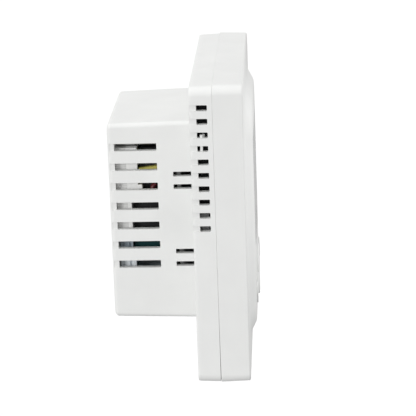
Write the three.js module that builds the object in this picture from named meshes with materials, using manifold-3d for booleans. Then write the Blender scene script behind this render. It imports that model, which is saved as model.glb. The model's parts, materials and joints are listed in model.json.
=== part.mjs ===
// A flush-mount wall thermostat for a square 86 mm wall box, as a three.js scene graph.
//
// Millimetres. X runs to the right as seen from the front, Y runs into the wall and Z runs up.
// The origin is the centre of the wall plane, which is the back face of the square plate.
// Everything at negative Y stands proud of the wall and everything at positive Y sits in the box.

import * as THREE from 'three';
import { mergeVertices } from 'three/addons/utils/BufferGeometryUtils.js';
import Module from 'manifold-3d';

const wasm = await Module();
wasm.setup();

// ---------------------------------------------------------------- driving dimensions

const GAP = 0.3; // clearance between pieces that touch
const CUT = 1; // how far a cutting tool runs past the surface it opens

const PLATE = 86; // width and height of the square front
const PLATE_CORNER = 2.6;
const WALL = 2; // general shell thickness

const HOUSING_INSET = 0.15; // the rear housing's front edge sits this far inside the front cover's
const HOUSING_DROP = 0.05; // and its outside this far lower
const HOUSING_DRAFT = 0.22; // each side leans in by this much toward the wall
const HOUSING_FRONT = -6.25; // front edge of the rear housing's rim
const HOUSING_BACK_PANEL = 1.8;

const RIM_INNER = 40.7; // half the width of the space inside the rim

const COVER_REAR = HOUSING_FRONT - GAP;
const COVER_FACE = -14.9; // flat border of the front face
const COVER_EDGE = 0.6; // break along the front edge
const COVER_DRAFT = 0.24; // each side leans in by this much toward the front
const LIP_THICKNESS = 1; // the cover's locating lip, which enters the housing's rim
const LIP_REAR = -5.3;
const LIP_ROOT = 2; // how far forward the lip runs along the inside of the cover
const PANEL_FACE = -17.1; // raised panel
const PANEL_Z = 0.6; // the raised panel sits this far above the middle
const PANEL_TOP_HALF = 29.6;
const PANEL_BASE_HALF = 34.6;
const PANEL_CORNER = 5.5;
const PANEL_BACK = PANEL_FACE + 2.6; // inner face of the raised panel

const BOX_DEPTH = 24.6;
const BOX_HALF_WIDTH = 24.1;
const BOX_HALF_HEIGHT = 29.3;
const BOX_DRAFT = 0.6; // each side leans in by this much over the depth
const BOX_CORNER = 1.3;
const BOX_REAR_WALL = 1.9;
const BOX_EDGE = 1.2; // rounding of the rear edges

const VENT_COUNT = 10;
const VENT_TOP = 36.86;
const VENT_PITCH = 3.8;
const VENT_HEIGHT = 1.65;
const VENT_LENGTH = 4.95;
const BAFFLE = { inner: 36.5, outer: 37.1, front: -5.1, bottom: 0.8, top: 38.6 }; // strip behind the vents
const BAFFLE_FOOT = { outer: 38.6, front: -4.4, top: 8.2 };
const CATCH = { inner: 40.7, outer: 42, front: -3.45, rear: -2.75, bottom: 24.4, top: 29.2 };
const CATCH_NOSE = { inner: 39.9, outer: 41, front: -4, rear: -3.3, bottom: 28 };
const BOX_BAR = { inner: 19.6, outer: 20.2, wall: 22.3, front: 4.1, rear: 5.2, half: 17, foot: 1.2 };

const SLOT_COUNT = 7;
const SLOT_TOP = 21.9;
const SLOT_PITCH = 5.775;
const SLOT_HEIGHT = 2.2;
const SLOT_FRONT = 10.55;
const SLOT_REAR = 24.1;

const CLIP_SLOT_HEIGHTS = [13.85, 10.15, -9.05, -12.8];
const CLIP_SLOT_HEIGHT = 1.4;
const CLIP_SLOT_FRONT = 0.05;
const CLIP_SLOT_REAR = 6.1;

const SCREW_PITCH = 60; // standard spacing of the wall box's two screws
const SCREW_SLOT = { width: 4.6, length: 9 };
const SCREW_PAD = { width: 7.8, length: 13, height: 1.3, corner: 1.5 };

const DISPLAY_BOARD = { front: -8.4, rear: -6.8, half: 37, corner: 1.5 };
const DISPLAY_SCREW = {
  inset: 3.5, hole: 1.5, bore: 1.2, post: 2.4, shank: 0.9, tip: 3.2, head: 2.2, crown: 1.6,
};
const POWER_BOARD = { front: 7.4, rear: 9, halfWidth: 20.9, halfHeight: 25.6, corner: 1 };
const POWER_SCREW = {
  x: 18.2, z: 23.4, post: 1.9, bore: 1.4, hole: 1.6, shank: 1.1, length: 6, head: 2.2, crown: 1.9,
};

const SNAP = { height: 26.5, width: 2.2, thickness: 1.5, clearance: 0.9 }; // four arms, two on each side

const WINDOW = { x: 0, z: 7.5, width: 48, height: 32, ledge: 1.6, corner: 1.8 };
const LENS = { thickness: 1.2, recess: 0.1 };
const LENS_REAR = PANEL_FACE + LENS.recess + LENS.thickness;
const LCD = { margin: 2, thickness: 1.8 }; // the panel is larger than the window by the margin
const GUIDE = { inset: 1.5, clearance: 0.9 }; // light guide behind the panel
const LCD_FRAME = { wall: 1.6, corner: 1.5, notch: 18 };
const LCD_CONNECTOR = { halfWidth: 17, height: 1.4 };

const CHIP = { halfWidth: 5, bottom: 4, top: 14, thickness: 1.4 };
const HEADER = { count: 8, pitch: 2.54, halfWidth: 12.2, bottom: -6.3, top: -3.8, strip: 2.5, reach: 8.3 };
const PIN_HALF = 0.32;
const SOCKET = { length: 8.5, floor: 1.5, hole: 1.5 };
const SENSOR = { x: -33.1, z: -24.7, stem: 3, bead: 1.3 };

const KEY_ROW = -22; // height of the row of keys
const KEY_CLEARANCE = 0.3; // radial gap between a key and its hole
const KEY = { dish: 0.15, rim: 1.8, slope: 0.4, round: 0.35, flange: 1, flangeThickness: 0.5, stem: 1.7 };
const CENTRE_KEY = { radius: 7.5, proud: 0.35 };
const SIDE_KEY = { radius: 3, proud: 0.2 };
const KEYS = [
  { name: 'menu', x: -23.5, ...SIDE_KEY },
  { name: 'down', x: -14.2, ...SIDE_KEY },
  { name: 'power', x: 0, ...CENTRE_KEY },
  { name: 'up', x: 14.2, ...SIDE_KEY },
  { name: 'clock', x: 23.5, ...SIDE_KEY },
];
const SWITCH = {
  side: 6, height: 3.3, bore: 2, boreDepth: 2.3, proud: 0.6, plunger: 1.6, plungerLength: 1.6,
};

const RELAY = {
  x0: -21.1, x1: -8.2, bottom: -4.3, step: 8.25, top: 21.13,
  upperFront: 16.4, lipFront: 15.2, lipTop: 10.3, lowerFront: 18.45, rear: 22.55,
};
const RELAY_FOOT = { inset: 0.6, side: 2.8 }; // the side leaves room for the film capacitor
const CORE = { x: 9, z: 11.6, halfWidth: 8.8, halfHeight: 4.2, front: 2, rear: 11, leg: 2.8 };
const WINDING = { halfWidth: 5.4, halfHeight: 6.6, front: 0.3, rear: 12.4, grip: 4.5 };
const BULK_CAPACITOR = { x: 15.4, z: -0.6, radius: 4, length: 11.5, round: 0.4 };
const FILM_CAPACITOR = {
  x: -19.85, z: 13.7, lean: 0.9, halfWidth: 1.1, halfHeight: 2.2, depth: 6.8, corner: 0.4,
};
const DIPPED_CAPACITOR = {
  x: -17.1, z: -8.1, halfWidth: 1.4, halfHeight: 2.3, depth: 8.1, corner: 0.9, standoff: 1,
  leg: 0.35, legZ: 1.3,
};
const FUSE = { x: -2.6, z: -8.6, radius: 2.4, halfLength: 6, height: 3.2 };

const WIRE_RADIUS = 0.7;
const RED_WIRE = [[-19.8, 0, 5.6], [-20.3, 1.6, 7.4], [-20.4, 2.2, 9.2], [-20, 1.4, 10.3]]; // x, height, z
const BLACK_WIRE = [[19, 0, 6], [19.6, 2, 10], [19.5, 2.2, 14], [18.9, 1, 19]];

const TERMINAL_COUNT = 6;
const TERMINAL_PITCH = 6.8;
const TERMINAL = { bottom: -25.9, top: -15.3, front: 9.3, rear: 23.9, screwHeight: -19.6 };
const TERMINAL_LEDGE = { top: -5.1, step: -10.8, upperFront: 18.7, lowerFront: 17.9, rear: 22.3 };
const LEDGE_GROOVES = { at: [19.4, 21.65], halfWidth: 0.35, depth: 0.6 };
const CHAMBER = { halfWidth: 2.3, front: 12.8, rear: 20, top: 3 };
const CONTACT = {
  halfWidth: 2, bore: 1.4, front: 13.1, rear: 18.6, halfHeight: 2.6, wall: 0.8, tongue: 17.2,
};
const TERMINAL_SCREW = { well: 2.3, tip: 15.4, shank: 1.2, head: 1.95, seat: 19.3, rear: 21.4, round: 0.4 };
const WIRE_ENTRY = { front: 12.6, rear: 20.4, inset: 2 };

// ---------------------------------------------------------------- materials

function material(color, roughness, metalness = 0) {
  return new THREE.MeshStandardMaterial({ color, roughness, metalness });
}

const LOOK = {
  case: () => material(0xf0f1f0, 0.5),
  keys: () => material(0xf3f4f3, 0.45),
  lens: () => material(0x2a3033, 0.08),
  lcd: () => material(0x8f9c88, 0.2),
  lightGuide: () => material(0xf4f6f7, 0.3),
  frame: () => material(0xe6e7e4, 0.5),
  board: () => material(0x1f5a3a, 0.45),
  rubber: () => material(0xc9a9a4, 0.7),
  blackPlastic: () => material(0x1b1b1d, 0.5),
  terminal: () => material(0x9fa8ae, 0.5),
  relay: () => material(0xd9dbd9, 0.4),
  ferrite: () => material(0x35363a, 0.7),
  tape: () => material(0xd9cf62, 0.4),
  film: () => material(0xd8b23a, 0.4),
  dipped: () => material(0x2c5a63, 0.4),
  sleeve: () => material(0x23252b, 0.35),
  glass: () => material(0xd6dedc, 0.1),
  redLead: () => material(0xa01722, 0.45),
  blackLead: () => material(0x17171a, 0.45),
  steel: () => material(0xb4b7ba, 0.35, 1),
  brass: () => material(0xc7a35a, 0.35, 1),
};

// ---------------------------------------------------------------- shape helpers

function solid(geometry) {
  const bare = geometry.clone();
  bare.deleteAttribute('normal');
  bare.deleteAttribute('uv');
  const merged = mergeVertices(bare, 1e-4);
  return new wasm.Manifold(new wasm.Mesh({
    numProp: 3,
    vertProperties: new Float32Array(merged.attributes.position.array),
    triVerts: new Uint32Array(merged.index.array),
  }));
}

function surface(manifold) {
  const mesh = manifold.getMesh();
  const geometry = new THREE.BufferGeometry();
  geometry.setAttribute('position', new THREE.BufferAttribute(new Float32Array(mesh.vertProperties), 3));
  geometry.setIndex(new THREE.BufferAttribute(new Uint32Array(mesh.triVerts), 1));
  geometry.computeVertexNormals();
  return geometry;
}

function join(...geometries) {
  return surface(geometries.map(solid).reduce((whole, part) => whole.add(part)));
}

function cut(geometry, ...tools) {
  return surface(tools.map(solid).reduce((whole, tool) => whole.subtract(tool), solid(geometry)));
}

// A box between two corners given along each axis.
function block(x0, x1, y0, y1, z0, z1) {
  const geometry = new THREE.BoxGeometry(x1 - x0, y1 - y0, z1 - z0);
  return geometry.translate((x0 + x1) / 2, (y0 + y1) / 2, (z0 + z1) / 2);
}

// A span along X between two distances from the middle, on the side that is asked for.
function span(side, inner, outer) {
  return side > 0 ? [inner, outer] : [-outer, -inner];
}

// A rounded rectangle in the XZ plane, as points that run anticlockwise seen from the front.
function roundedOutline(halfWidth, halfHeight, corner, steps = 5) {
  const points = [];
  const centres = [[1, 1], [-1, 1], [-1, -1], [1, -1]];
  centres.forEach(([sx, sz], quarter) => {
    for (let i = 0; i <= steps; i += 1) {
      const angle = (quarter + i / steps) * Math.PI / 2;
      const x = sx * (halfWidth - corner) + corner * Math.cos(angle);
      const z = sz * (halfHeight - corner) + corner * Math.sin(angle);
      points.push([x, z]);
    }
  });
  return points;
}

// A closed solid through outlines of equal length, each at its own depth, listed from front to rear.
function loft(sections) {
  const count = sections[0].outline.length;
  const positions = [];
  const index = [];
  for (const { outline, y } of sections) {
    for (const [x, z] of outline) positions.push(x, y, z);
  }
  for (let s = 0; s + 1 < sections.length; s += 1) {
    for (let i = 0; i < count; i += 1) {
      const a = s * count + i;
      const b = s * count + (i + 1) % count;
      index.push(a, a + count, b, b, a + count, b + count);
    }
  }
  const last = (sections.length - 1) * count;
  for (let i = 1; i + 1 < count; i += 1) {
    index.push(0, i, i + 1);
    index.push(last, last + i + 1, last + i);
  }
  const geometry = new THREE.BufferGeometry();
  geometry.setAttribute('position', new THREE.Float32BufferAttribute(positions, 3));
  geometry.setIndex(index);
  return geometry;
}

// A straight-sided rounded plate between two depths.
function slab(halfWidth, halfHeight, corner, y0, y1, x = 0, z = 0, steps = 5) {
  const outline = roundedOutline(halfWidth, halfHeight, corner, steps);
  return loft([{ outline, y: y0 }, { outline, y: y1 }]).translate(x, 0, z);
}

// A solid of revolution about an axis along Y. The profile is a list of [radius, y] from axis to axis.
function turned(profile, x, z, segments = 24) {
  const points = profile.map(([radius, y]) => new THREE.Vector2(radius, y));
  return new THREE.LatheGeometry(points, segments).translate(x, 0, z);
}

// A plain round bar along Y.
function bar(radius, y0, y1, x, z, segments = 16) {
  return turned([[0, y0], [radius, y0], [radius, y1], [0, y1]], x, z, segments);
}

// Enough sides to keep a large key round without wasting any on the small ones.
function keySegments(radius) {
  return radius > SIDE_KEY.radius ? 28 : 16;
}

// A round wire through a list of points.
function wire(points, radius) {
  const path = new THREE.CatmullRomCurve3(points.map((point) => new THREE.Vector3(...point)));
  const section = new THREE.Shape().absarc(0, 0, radius, 0, Math.PI * 2);
  return new THREE.ExtrudeGeometry(section, { steps: 14, curveSegments: 4, extrudePath: path });
}

function mesh(name, geometry, look) {
  const part = new THREE.Mesh(geometry, look());
  part.name = name;
  return part;
}

// ---------------------------------------------------------------- rear housing

// Outline of the rear box at a given depth, drawn in by an inset.
function boxSection(y, inset) {
  const lean = BOX_DRAFT * y / BOX_DEPTH + inset;
  return { outline: roundedOutline(BOX_HALF_WIDTH - lean, BOX_HALF_HEIGHT - lean, BOX_CORNER), y };
}

function rearHousing() {
  const half = PLATE / 2 - HOUSING_INSET;
  const rearHalf = half - HOUSING_DRAFT;
  const panelFront = -HOUSING_BACK_PANEL;
  const cavityRear = BOX_DEPTH - BOX_REAR_WALL;
  const overlap = 0.2; // joined pieces run this far into each other

  const outerBox = loft([
    boxSection(panelFront, 0),
    boxSection(BOX_DEPTH - BOX_EDGE, 0),
    boxSection(BOX_DEPTH - BOX_EDGE * 0.3, BOX_EDGE * 0.3),
    boxSection(BOX_DEPTH, BOX_EDGE),
  ]);
  const cavity = loft([boxSection(panelFront - CUT, WALL), boxSection(cavityRear, WALL)]);
  const plate = loft([
    { outline: roundedOutline(half, half, PLATE_CORNER), y: HOUSING_FRONT },
    { outline: roundedOutline(rearHalf, rearHalf, PLATE_CORNER), y: 0 },
  ]);
  const body = cut(
    join(plate.translate(0, 0, -HOUSING_DROP), outerBox),
    slab(RIM_INNER, RIM_INNER, PLATE_CORNER - 1.5, HOUSING_FRONT - CUT, panelFront),
    cavity,
  );

  // Raised pads carry the heads of the two wall screws, and two posts carry the power board.
  const padFront = panelFront - SCREW_PAD.height;
  const additions = [];
  for (const side of [-1, 1]) {
    const x = side * SCREW_PITCH / 2;
    const { width, length, corner } = SCREW_PAD;
    additions.push(slab(width / 2, length / 2, corner, padFront, panelFront + overlap, x, 0, 2));
    const postFront = POWER_BOARD.rear + GAP;
    const postX = side * POWER_SCREW.x;
    additions.push(bar(POWER_SCREW.post, postFront, cavityRear + overlap, postX, POWER_SCREW.z, 12));
  }

  const tools = [];
  for (const side of [-1, 1]) {
    const [px0, px1] = span(side, RIM_INNER, half + CUT);
    for (let i = 0; i < VENT_COUNT; i += 1) {
      const z = VENT_TOP - i * VENT_PITCH;
      tools.push(block(px0, px1, -VENT_LENGTH, CUT, z - VENT_HEIGHT / 2, z + VENT_HEIGHT / 2));
    }
    const [bx0, bx1] = span(side, BOX_HALF_WIDTH - BOX_DRAFT - WALL - 0.1, BOX_HALF_WIDTH + CUT);
    for (let i = 0; i < SLOT_COUNT; i += 1) {
      const z = SLOT_TOP - i * SLOT_PITCH;
      tools.push(block(bx0, bx1, SLOT_FRONT, SLOT_REAR, z - SLOT_HEIGHT / 2, z + SLOT_HEIGHT / 2));
    }
    const clipHalf = CLIP_SLOT_HEIGHT / 2;
    for (const z of CLIP_SLOT_HEIGHTS) {
      tools.push(block(bx0, bx1, CLIP_SLOT_FRONT, CLIP_SLOT_REAR, z - clipHalf, z + clipHalf));
    }
    const slotHalf = SCREW_SLOT.width / 2;
    const x = side * SCREW_PITCH / 2;
    tools.push(slab(slotHalf, SCREW_SLOT.length / 2, slotHalf - 0.01, padFront - CUT, CUT, x, 0, 4));
    const boreRear = POWER_BOARD.rear + POWER_SCREW.length + 0.5;
    tools.push(bar(POWER_SCREW.bore, POWER_BOARD.rear, boreRear, side * POWER_SCREW.x, POWER_SCREW.z, 10));
  }

  // Terminal window in the rear wall and wire entry in the bottom wall.
  const reach = TERMINAL_COUNT * TERMINAL_PITCH / 2 + GAP;
  const windowTop = TERMINAL.top + GAP;
  const entry = reach - WIRE_ENTRY.inset;
  const floor = -BOX_HALF_HEIGHT - CUT;
  tools.push(block(-reach, reach, cavityRear - CUT, BOX_DEPTH + CUT, TERMINAL.bottom - GAP, windowTop));
  tools.push(block(-entry, entry, WIRE_ENTRY.front, WIRE_ENTRY.rear, floor, TERMINAL.bottom));
  const opened = cut(join(body, ...additions), ...tools);
  return mesh('rear_housing', join(opened, ...catches(), ...boxBars()), LOOK.case);
}

// A catch crosses two vents on each side, with a nose that steadies a snap arm of the cover.
function catches() {
  return [-1, 1].flatMap((side) => {
    const [x0, x1] = span(side, CATCH.inner, CATCH.outer);
    const [nx0, nx1] = span(side, CATCH_NOSE.inner, CATCH_NOSE.outer);
    return [
      block(x0, x1, CATCH.front, CATCH.rear, CATCH.bottom, CATCH.top),
      block(nx0, nx1, CATCH_NOSE.front, CATCH_NOSE.rear, CATCH_NOSE.bottom, CATCH.top),
    ];
  });
}

// A slim bar runs behind the clip slots on each side. A foot at each end carries it on the box's wall.
function boxBars() {
  const { inner, outer, wall, front, rear, half, foot } = BOX_BAR;
  return [-1, 1].flatMap((side) => {
    const [x0, x1] = span(side, inner, outer);
    const [fx0, fx1] = span(side, inner, wall);
    return [
      block(x0, x1, front, rear, -half, half),
      block(fx0, fx1, front, rear, -half, foot - half),
      block(fx0, fx1, front, rear, half - foot, half),
    ];
  });
}

// A dark strip stands behind each row of vents and closes them to sight and touch. Its foot is thicker.
function ventBaffles() {
  const { inner, outer, front, bottom, top } = BAFFLE;
  const rear = -HOUSING_BACK_PANEL - GAP;
  return [-1, 1].map((side) => {
    const [x0, x1] = span(side, inner, outer);
    const [fx0, fx1] = span(side, inner, BAFFLE_FOOT.outer);
    const strip = block(x0, x1, front, rear, bottom, top);
    const foot = block(fx0, fx1, BAFFLE_FOOT.front, rear, bottom, BAFFLE_FOOT.top);
    const name = side < 0 ? 'vent_baffle_left' : 'vent_baffle_right';
    return mesh(name, join(strip, foot), LOOK.blackPlastic);
  });
}

// ---------------------------------------------------------------- front cover

// Calls make(x, z) for each corner where the display board is screwed to the cover.
function atBoardCorners(make) {
  const reach = DISPLAY_BOARD.half - DISPLAY_SCREW.inset;
  return [[-1, -1], [-1, 1], [1, -1], [1, 1]].map(([sx, sz]) => make(sx * reach, sz * reach));
}

function coverOuter() {
  const half = PLATE / 2;
  const front = half - COVER_DRAFT;
  const section = (h, corner, y, z = 0) => ({
    outline: roundedOutline(h, h, corner).map((point) => [point[0], point[1] + z]),
    y,
  });
  return loft([
    section(PANEL_TOP_HALF, PANEL_CORNER, PANEL_FACE, PANEL_Z),
    section(PANEL_TOP_HALF + 1, PANEL_CORNER + 1, PANEL_FACE + 0.35, PANEL_Z),
    section(PANEL_BASE_HALF - 1.3, PANEL_CORNER + 2.2, COVER_FACE - 0.35, PANEL_Z),
    section(PANEL_BASE_HALF, PANEL_CORNER + 3, COVER_FACE, PANEL_Z),
    section(front - COVER_EDGE, PLATE_CORNER - COVER_DRAFT - COVER_EDGE, COVER_FACE),
    section(front, PLATE_CORNER - COVER_DRAFT, COVER_FACE + COVER_EDGE),
    section(half, PLATE_CORNER, COVER_REAR),
  ]);
}

// The lip stands inside the cover's open edge and enters the rear housing's rim.
function coverLip(outer) {
  const root = PLATE / 2 - WALL + 0.2;
  const corner = PLATE_CORNER - WALL;
  const inner = outer - LIP_THICKNESS;
  return cut(
    join(
      slab(root, root, corner, COVER_REAR - LIP_ROOT, COVER_REAR),
      slab(outer, outer, corner, COVER_REAR - LIP_ROOT / 2, LIP_REAR),
    ),
    slab(inner, inner, corner, COVER_REAR - LIP_ROOT - CUT, LIP_REAR + CUT),
  );
}

function frontCover() {
  const half = PLATE / 2;
  const shellHalf = half - WALL;
  const shellFront = COVER_FACE + WALL;
  const panelHalf = PANEL_BASE_HALF - WALL;
  const overlap = 0.2;
  const hollow = cut(
    coverOuter(),
    slab(shellHalf, shellHalf, PLATE_CORNER - 1.5, shellFront, COVER_REAR + CUT),
    slab(panelHalf, panelHalf, PANEL_CORNER, PANEL_BACK, shellFront + CUT, 0, PANEL_Z),
  );

  // Posts for the display board's screws, and a snap arm on each side that enters the rear housing.
  const postRear = DISPLAY_BOARD.front - GAP;
  const additions = atBoardCorners((x, z) => bar(DISPLAY_SCREW.post, shellFront - overlap, postRear, x, z));
  const lipHalf = RIM_INNER - GAP;
  const snapRear = -HOUSING_BACK_PANEL - SNAP.clearance;
  for (const side of [-1, 1]) {
    const [x0, x1] = span(side, lipHalf - SNAP.thickness, lipHalf);
    for (const z of [SNAP.height, -SNAP.height]) {
      const reach = SNAP.width / 2;
      additions.push(block(x0, x1, shellFront - overlap, snapRear, z - reach, z + reach));
    }
  }
  additions.push(coverLip(lipHalf));

  const { x, z, ledge } = WINDOW;
  const w = WINDOW.width / 2;
  const h = WINDOW.height / 2;
  const tools = [
    slab(w + GAP, h + GAP, WINDOW.corner, PANEL_FACE - CUT, LENS_REAR + GAP, x, z, 3),
    slab(w - ledge, h - ledge, WINDOW.corner / 2, PANEL_FACE - CUT, PANEL_BACK + CUT, x, z, 3),
  ];
  for (const key of KEYS) {
    const radius = key.radius + KEY_CLEARANCE;
    tools.push(bar(radius, PANEL_FACE - CUT, PANEL_BACK + CUT, key.x, KEY_ROW, keySegments(key.radius)));
  }
  const boreFront = shellFront + 0.6;
  const boreRear = DISPLAY_BOARD.front;
  tools.push(...atBoardCorners((px, pz) => bar(DISPLAY_SCREW.bore, boreFront, boreRear, px, pz, 8)));
  return mesh('front_cover', cut(join(hollow, ...additions), ...tools), LOOK.case);
}

// ---------------------------------------------------------------- display stack

function displayStack() {
  const { x, z } = WINDOW;
  const w = WINDOW.width / 2;
  const h = WINDOW.height / 2;
  const lcdFront = PANEL_BACK + GAP;
  const lcdRear = lcdFront + LCD.thickness;
  const lcdW = w + LCD.margin;
  const lcdH = h + LCD.margin / 2;
  const guideW = lcdW - GUIDE.inset;
  const guideH = lcdH - GUIDE.inset;
  const boardGap = DISPLAY_BOARD.front - GAP;

  const lens = slab(w, h, WINDOW.corner, LENS_REAR - LENS.thickness, LENS_REAR, x, z, 3);
  const lcd = slab(lcdW, lcdH, 0.3, lcdFront, lcdRear, x, z, 1);
  const guide = slab(guideW, guideH, 0.5, lcdRear + GAP, DISPLAY_BOARD.front - GUIDE.clearance, x, z, 1);

  const wall = GAP + LCD_FRAME.wall;
  const frameFront = lcdFront + 0.1;
  const bottom = z - lcdH;
  const frame = cut(
    slab(lcdW + wall, lcdH + wall, LCD_FRAME.corner, frameFront, boardGap, x, z, 2),
    slab(lcdW + GAP, lcdH + GAP, 0.4, frameFront - CUT, lcdRear + GAP, x, z, 1),
    slab(guideW + GAP, guideH + GAP, 0.5, frameFront - CUT, boardGap + CUT, x, z, 1),
    block(x - LCD_FRAME.notch, x + LCD_FRAME.notch, lcdRear - CUT, boardGap + CUT, bottom - 4, bottom + 1.4),
  );
  const stripTop = bottom + 1;
  const strip = block(
    x - LCD_CONNECTOR.halfWidth, x + LCD_CONNECTOR.halfWidth,
    lcdRear + GAP, boardGap,
    stripTop - LCD_CONNECTOR.height, stripTop,
  );
  return [
    mesh('display_lens', lens, LOOK.lens),
    mesh('lcd_panel', lcd, LOOK.lcd),
    mesh('backlight_guide', guide, LOOK.lightGuide),
    mesh('lcd_frame', frame, LOOK.frame),
    mesh('lcd_connector', strip, LOOK.rubber),
  ];
}

// Distance of a header pin from the middle of its row.
function pinX(i) {
  return (i - (HEADER.count - 1) / 2) * HEADER.pitch;
}

function displayBoard() {
  const { front, rear, half, corner } = DISPLAY_BOARD;
  const { hole, shank, tip, head, crown } = DISPLAY_SCREW;
  const seat = rear + GAP;
  const board = cut(
    slab(half, half, corner, front, rear, 0, 0, 2),
    ...atBoardCorners((x, z) => bar(hole, front - CUT, rear + CUT, x, z, 12)),
  );
  const profile = [
    [0, front - tip],
    [shank, front - tip + 0.5],
    [shank, seat],
    [head, seat],
    [head, rear + crown - 0.5],
    [head - 0.7, rear + crown],
    [0, rear + crown],
  ];
  const screws = atBoardCorners((x, z) => turned(profile, x, z, 12));

  const chip = block(-CHIP.halfWidth, CHIP.halfWidth, seat, seat + CHIP.thickness, CHIP.bottom, CHIP.top);
  const stripRear = seat + HEADER.strip;
  const pinZ = (HEADER.bottom + HEADER.top) / 2;
  const pins = [block(-HEADER.halfWidth, HEADER.halfWidth, seat, stripRear, HEADER.bottom, HEADER.top)];
  for (let i = 0; i < HEADER.count; i += 1) {
    const x = pinX(i);
    const [z0, z1] = [pinZ - PIN_HALF, pinZ + PIN_HALF];
    pins.push(block(x - PIN_HALF, x + PIN_HALF, stripRear - 0.5, seat + HEADER.reach, z0, z1));
  }
  const stemRear = seat + SENSOR.stem;
  const stem = block(SENSOR.x - 0.3, SENSOR.x + 0.3, seat, stemRear, SENSOR.z - 0.3, SENSOR.z + 0.3);
  const bead = new THREE.SphereGeometry(SENSOR.bead, 10, 8).translate(SENSOR.x, stemRear, SENSOR.z);
  return [
    mesh('display_board', board, LOOK.board),
    mesh('controller_chip', chip, LOOK.blackPlastic),
    mesh('pin_header', join(...pins), LOOK.brass),
    mesh('room_sensor', join(stem, bead), LOOK.blackPlastic),
    ...screws.map((screw, i) => mesh(`display_board_screw_${i + 1}`, screw, LOOK.steel)),
  ];
}

// ---------------------------------------------------------------- keys and their switches

// Front end of a switch's plunger at rest.
function switchTop() {
  return DISPLAY_BOARD.front - GAP - SWITCH.height - SWITCH.proud;
}

function keyCap({ x, radius, proud }) {
  const face = PANEL_FACE - proud;
  const flangeFront = PANEL_BACK + GAP;
  const flangeRear = flangeFront + KEY.flangeThickness;
  const rear = switchTop() - GAP;
  const round = Math.min(KEY.round, proud * 0.8);
  const profile = [
    [0, face + KEY.dish],
    [radius - KEY.rim - KEY.slope, face + KEY.dish],
    [radius - KEY.rim, face],
    [radius - round, face],
    [radius, face + round],
    [radius, flangeFront],
    [radius + KEY.flange, flangeFront],
    [radius + KEY.flange, flangeRear],
    [KEY.stem, flangeRear],
    [KEY.stem, rear],
    [0, rear],
  ];
  return turned(profile, x, KEY_ROW, keySegments(radius));
}

function keySet(key) {
  const bodyRear = DISPLAY_BOARD.front - GAP;
  const bodyFront = bodyRear - SWITCH.height;
  const half = SWITCH.side / 2;
  const body = cut(
    block(key.x - half, key.x + half, bodyFront, bodyRear, KEY_ROW - half, KEY_ROW + half),
    bar(SWITCH.bore, bodyFront - CUT, bodyFront + SWITCH.boreDepth, key.x, KEY_ROW),
  );
  const top = switchTop();
  const plunger = bar(SWITCH.plunger, top, top + SWITCH.plungerLength, key.x, KEY_ROW);
  return [
    mesh(`${key.name}_key`, keyCap(key), LOOK.keys),
    mesh(`${key.name}_switch_body`, body, LOOK.blackPlastic),
    mesh(`${key.name}_switch_plunger`, plunger, LOOK.blackPlastic),
  ];
}

// ---------------------------------------------------------------- power board and its components

function powerBoard() {
  const { front, rear, halfWidth, halfHeight, corner } = POWER_BOARD;
  const { x: screwX, z: screwZ, hole, shank, length, head, crown } = POWER_SCREW;
  const profile = [
    [0, front - crown],
    [head - 0.7, front - crown],
    [head, front - crown + 0.5],
    [head, front - GAP],
    [shank, front - GAP],
    [shank, rear + length - 0.6],
    [0, rear + length],
  ];
  const sides = [-screwX, screwX];
  const board = cut(
    slab(halfWidth, halfHeight, corner, front, rear, 0, 0, 1),
    ...sides.map((x) => bar(hole, front - CUT, rear + CUT, x, screwZ, 12)),
  );

  const socketRear = front - GAP;
  const socketFront = socketRear - SOCKET.length;
  const holeHalf = SOCKET.hole / 2;
  const pinZ = (HEADER.bottom + HEADER.top) / 2;
  const holes = Array.from({ length: HEADER.count }, (_, i) => block(
    pinX(i) - holeHalf, pinX(i) + holeHalf,
    socketFront - CUT, socketRear - SOCKET.floor,
    pinZ - holeHalf, pinZ + holeHalf,
  ));
  const socket = cut(
    block(-HEADER.halfWidth, HEADER.halfWidth, socketFront, socketRear, HEADER.bottom, HEADER.top),
    ...holes,
  );
  return [
    mesh('power_board', board, LOOK.board),
    mesh('board_socket', socket, LOOK.blackPlastic),
    ...sides.map((x, i) => mesh(`power_board_screw_${i + 1}`, turned(profile, x, screwZ, 12), LOOK.steel)),
  ];
}

// The relay's cover is deeper over its upper half, which ends in a lip. Its joint with the base is stepped.
function relayParts(base) {
  const { x0, x1, bottom, step, top, upperFront, lipFront, lipTop, lowerFront, rear } = RELAY;
  const overlap = 0.2;
  const cover = join(
    block(x0, x1, upperFront, rear, step, top),
    block(x0, x1, lipFront, rear, step, lipTop),
    block(x0, x1, lowerFront, rear, bottom, step + overlap),
  );
  const { inset, side } = RELAY_FOOT;
  const [footX0, footX1] = [x0 + side, x1 - inset];
  const foot = join(
    block(footX0, footX1, base, upperFront - GAP, step - GAP, top - inset),
    block(footX0, footX1, base, lowerFront - GAP, bottom + inset, step - GAP + overlap),
  );
  const footCleared = cut(
    foot,
    block(x0, x1, upperFront - GAP, rear, step - GAP, top),
    block(x0, x1, lipFront - GAP, rear, step - GAP, lipTop + GAP),
  );
  return [mesh('relay_cover', cover, LOOK.relay), mesh('relay_base', footCleared, LOOK.blackPlastic)];
}

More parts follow.
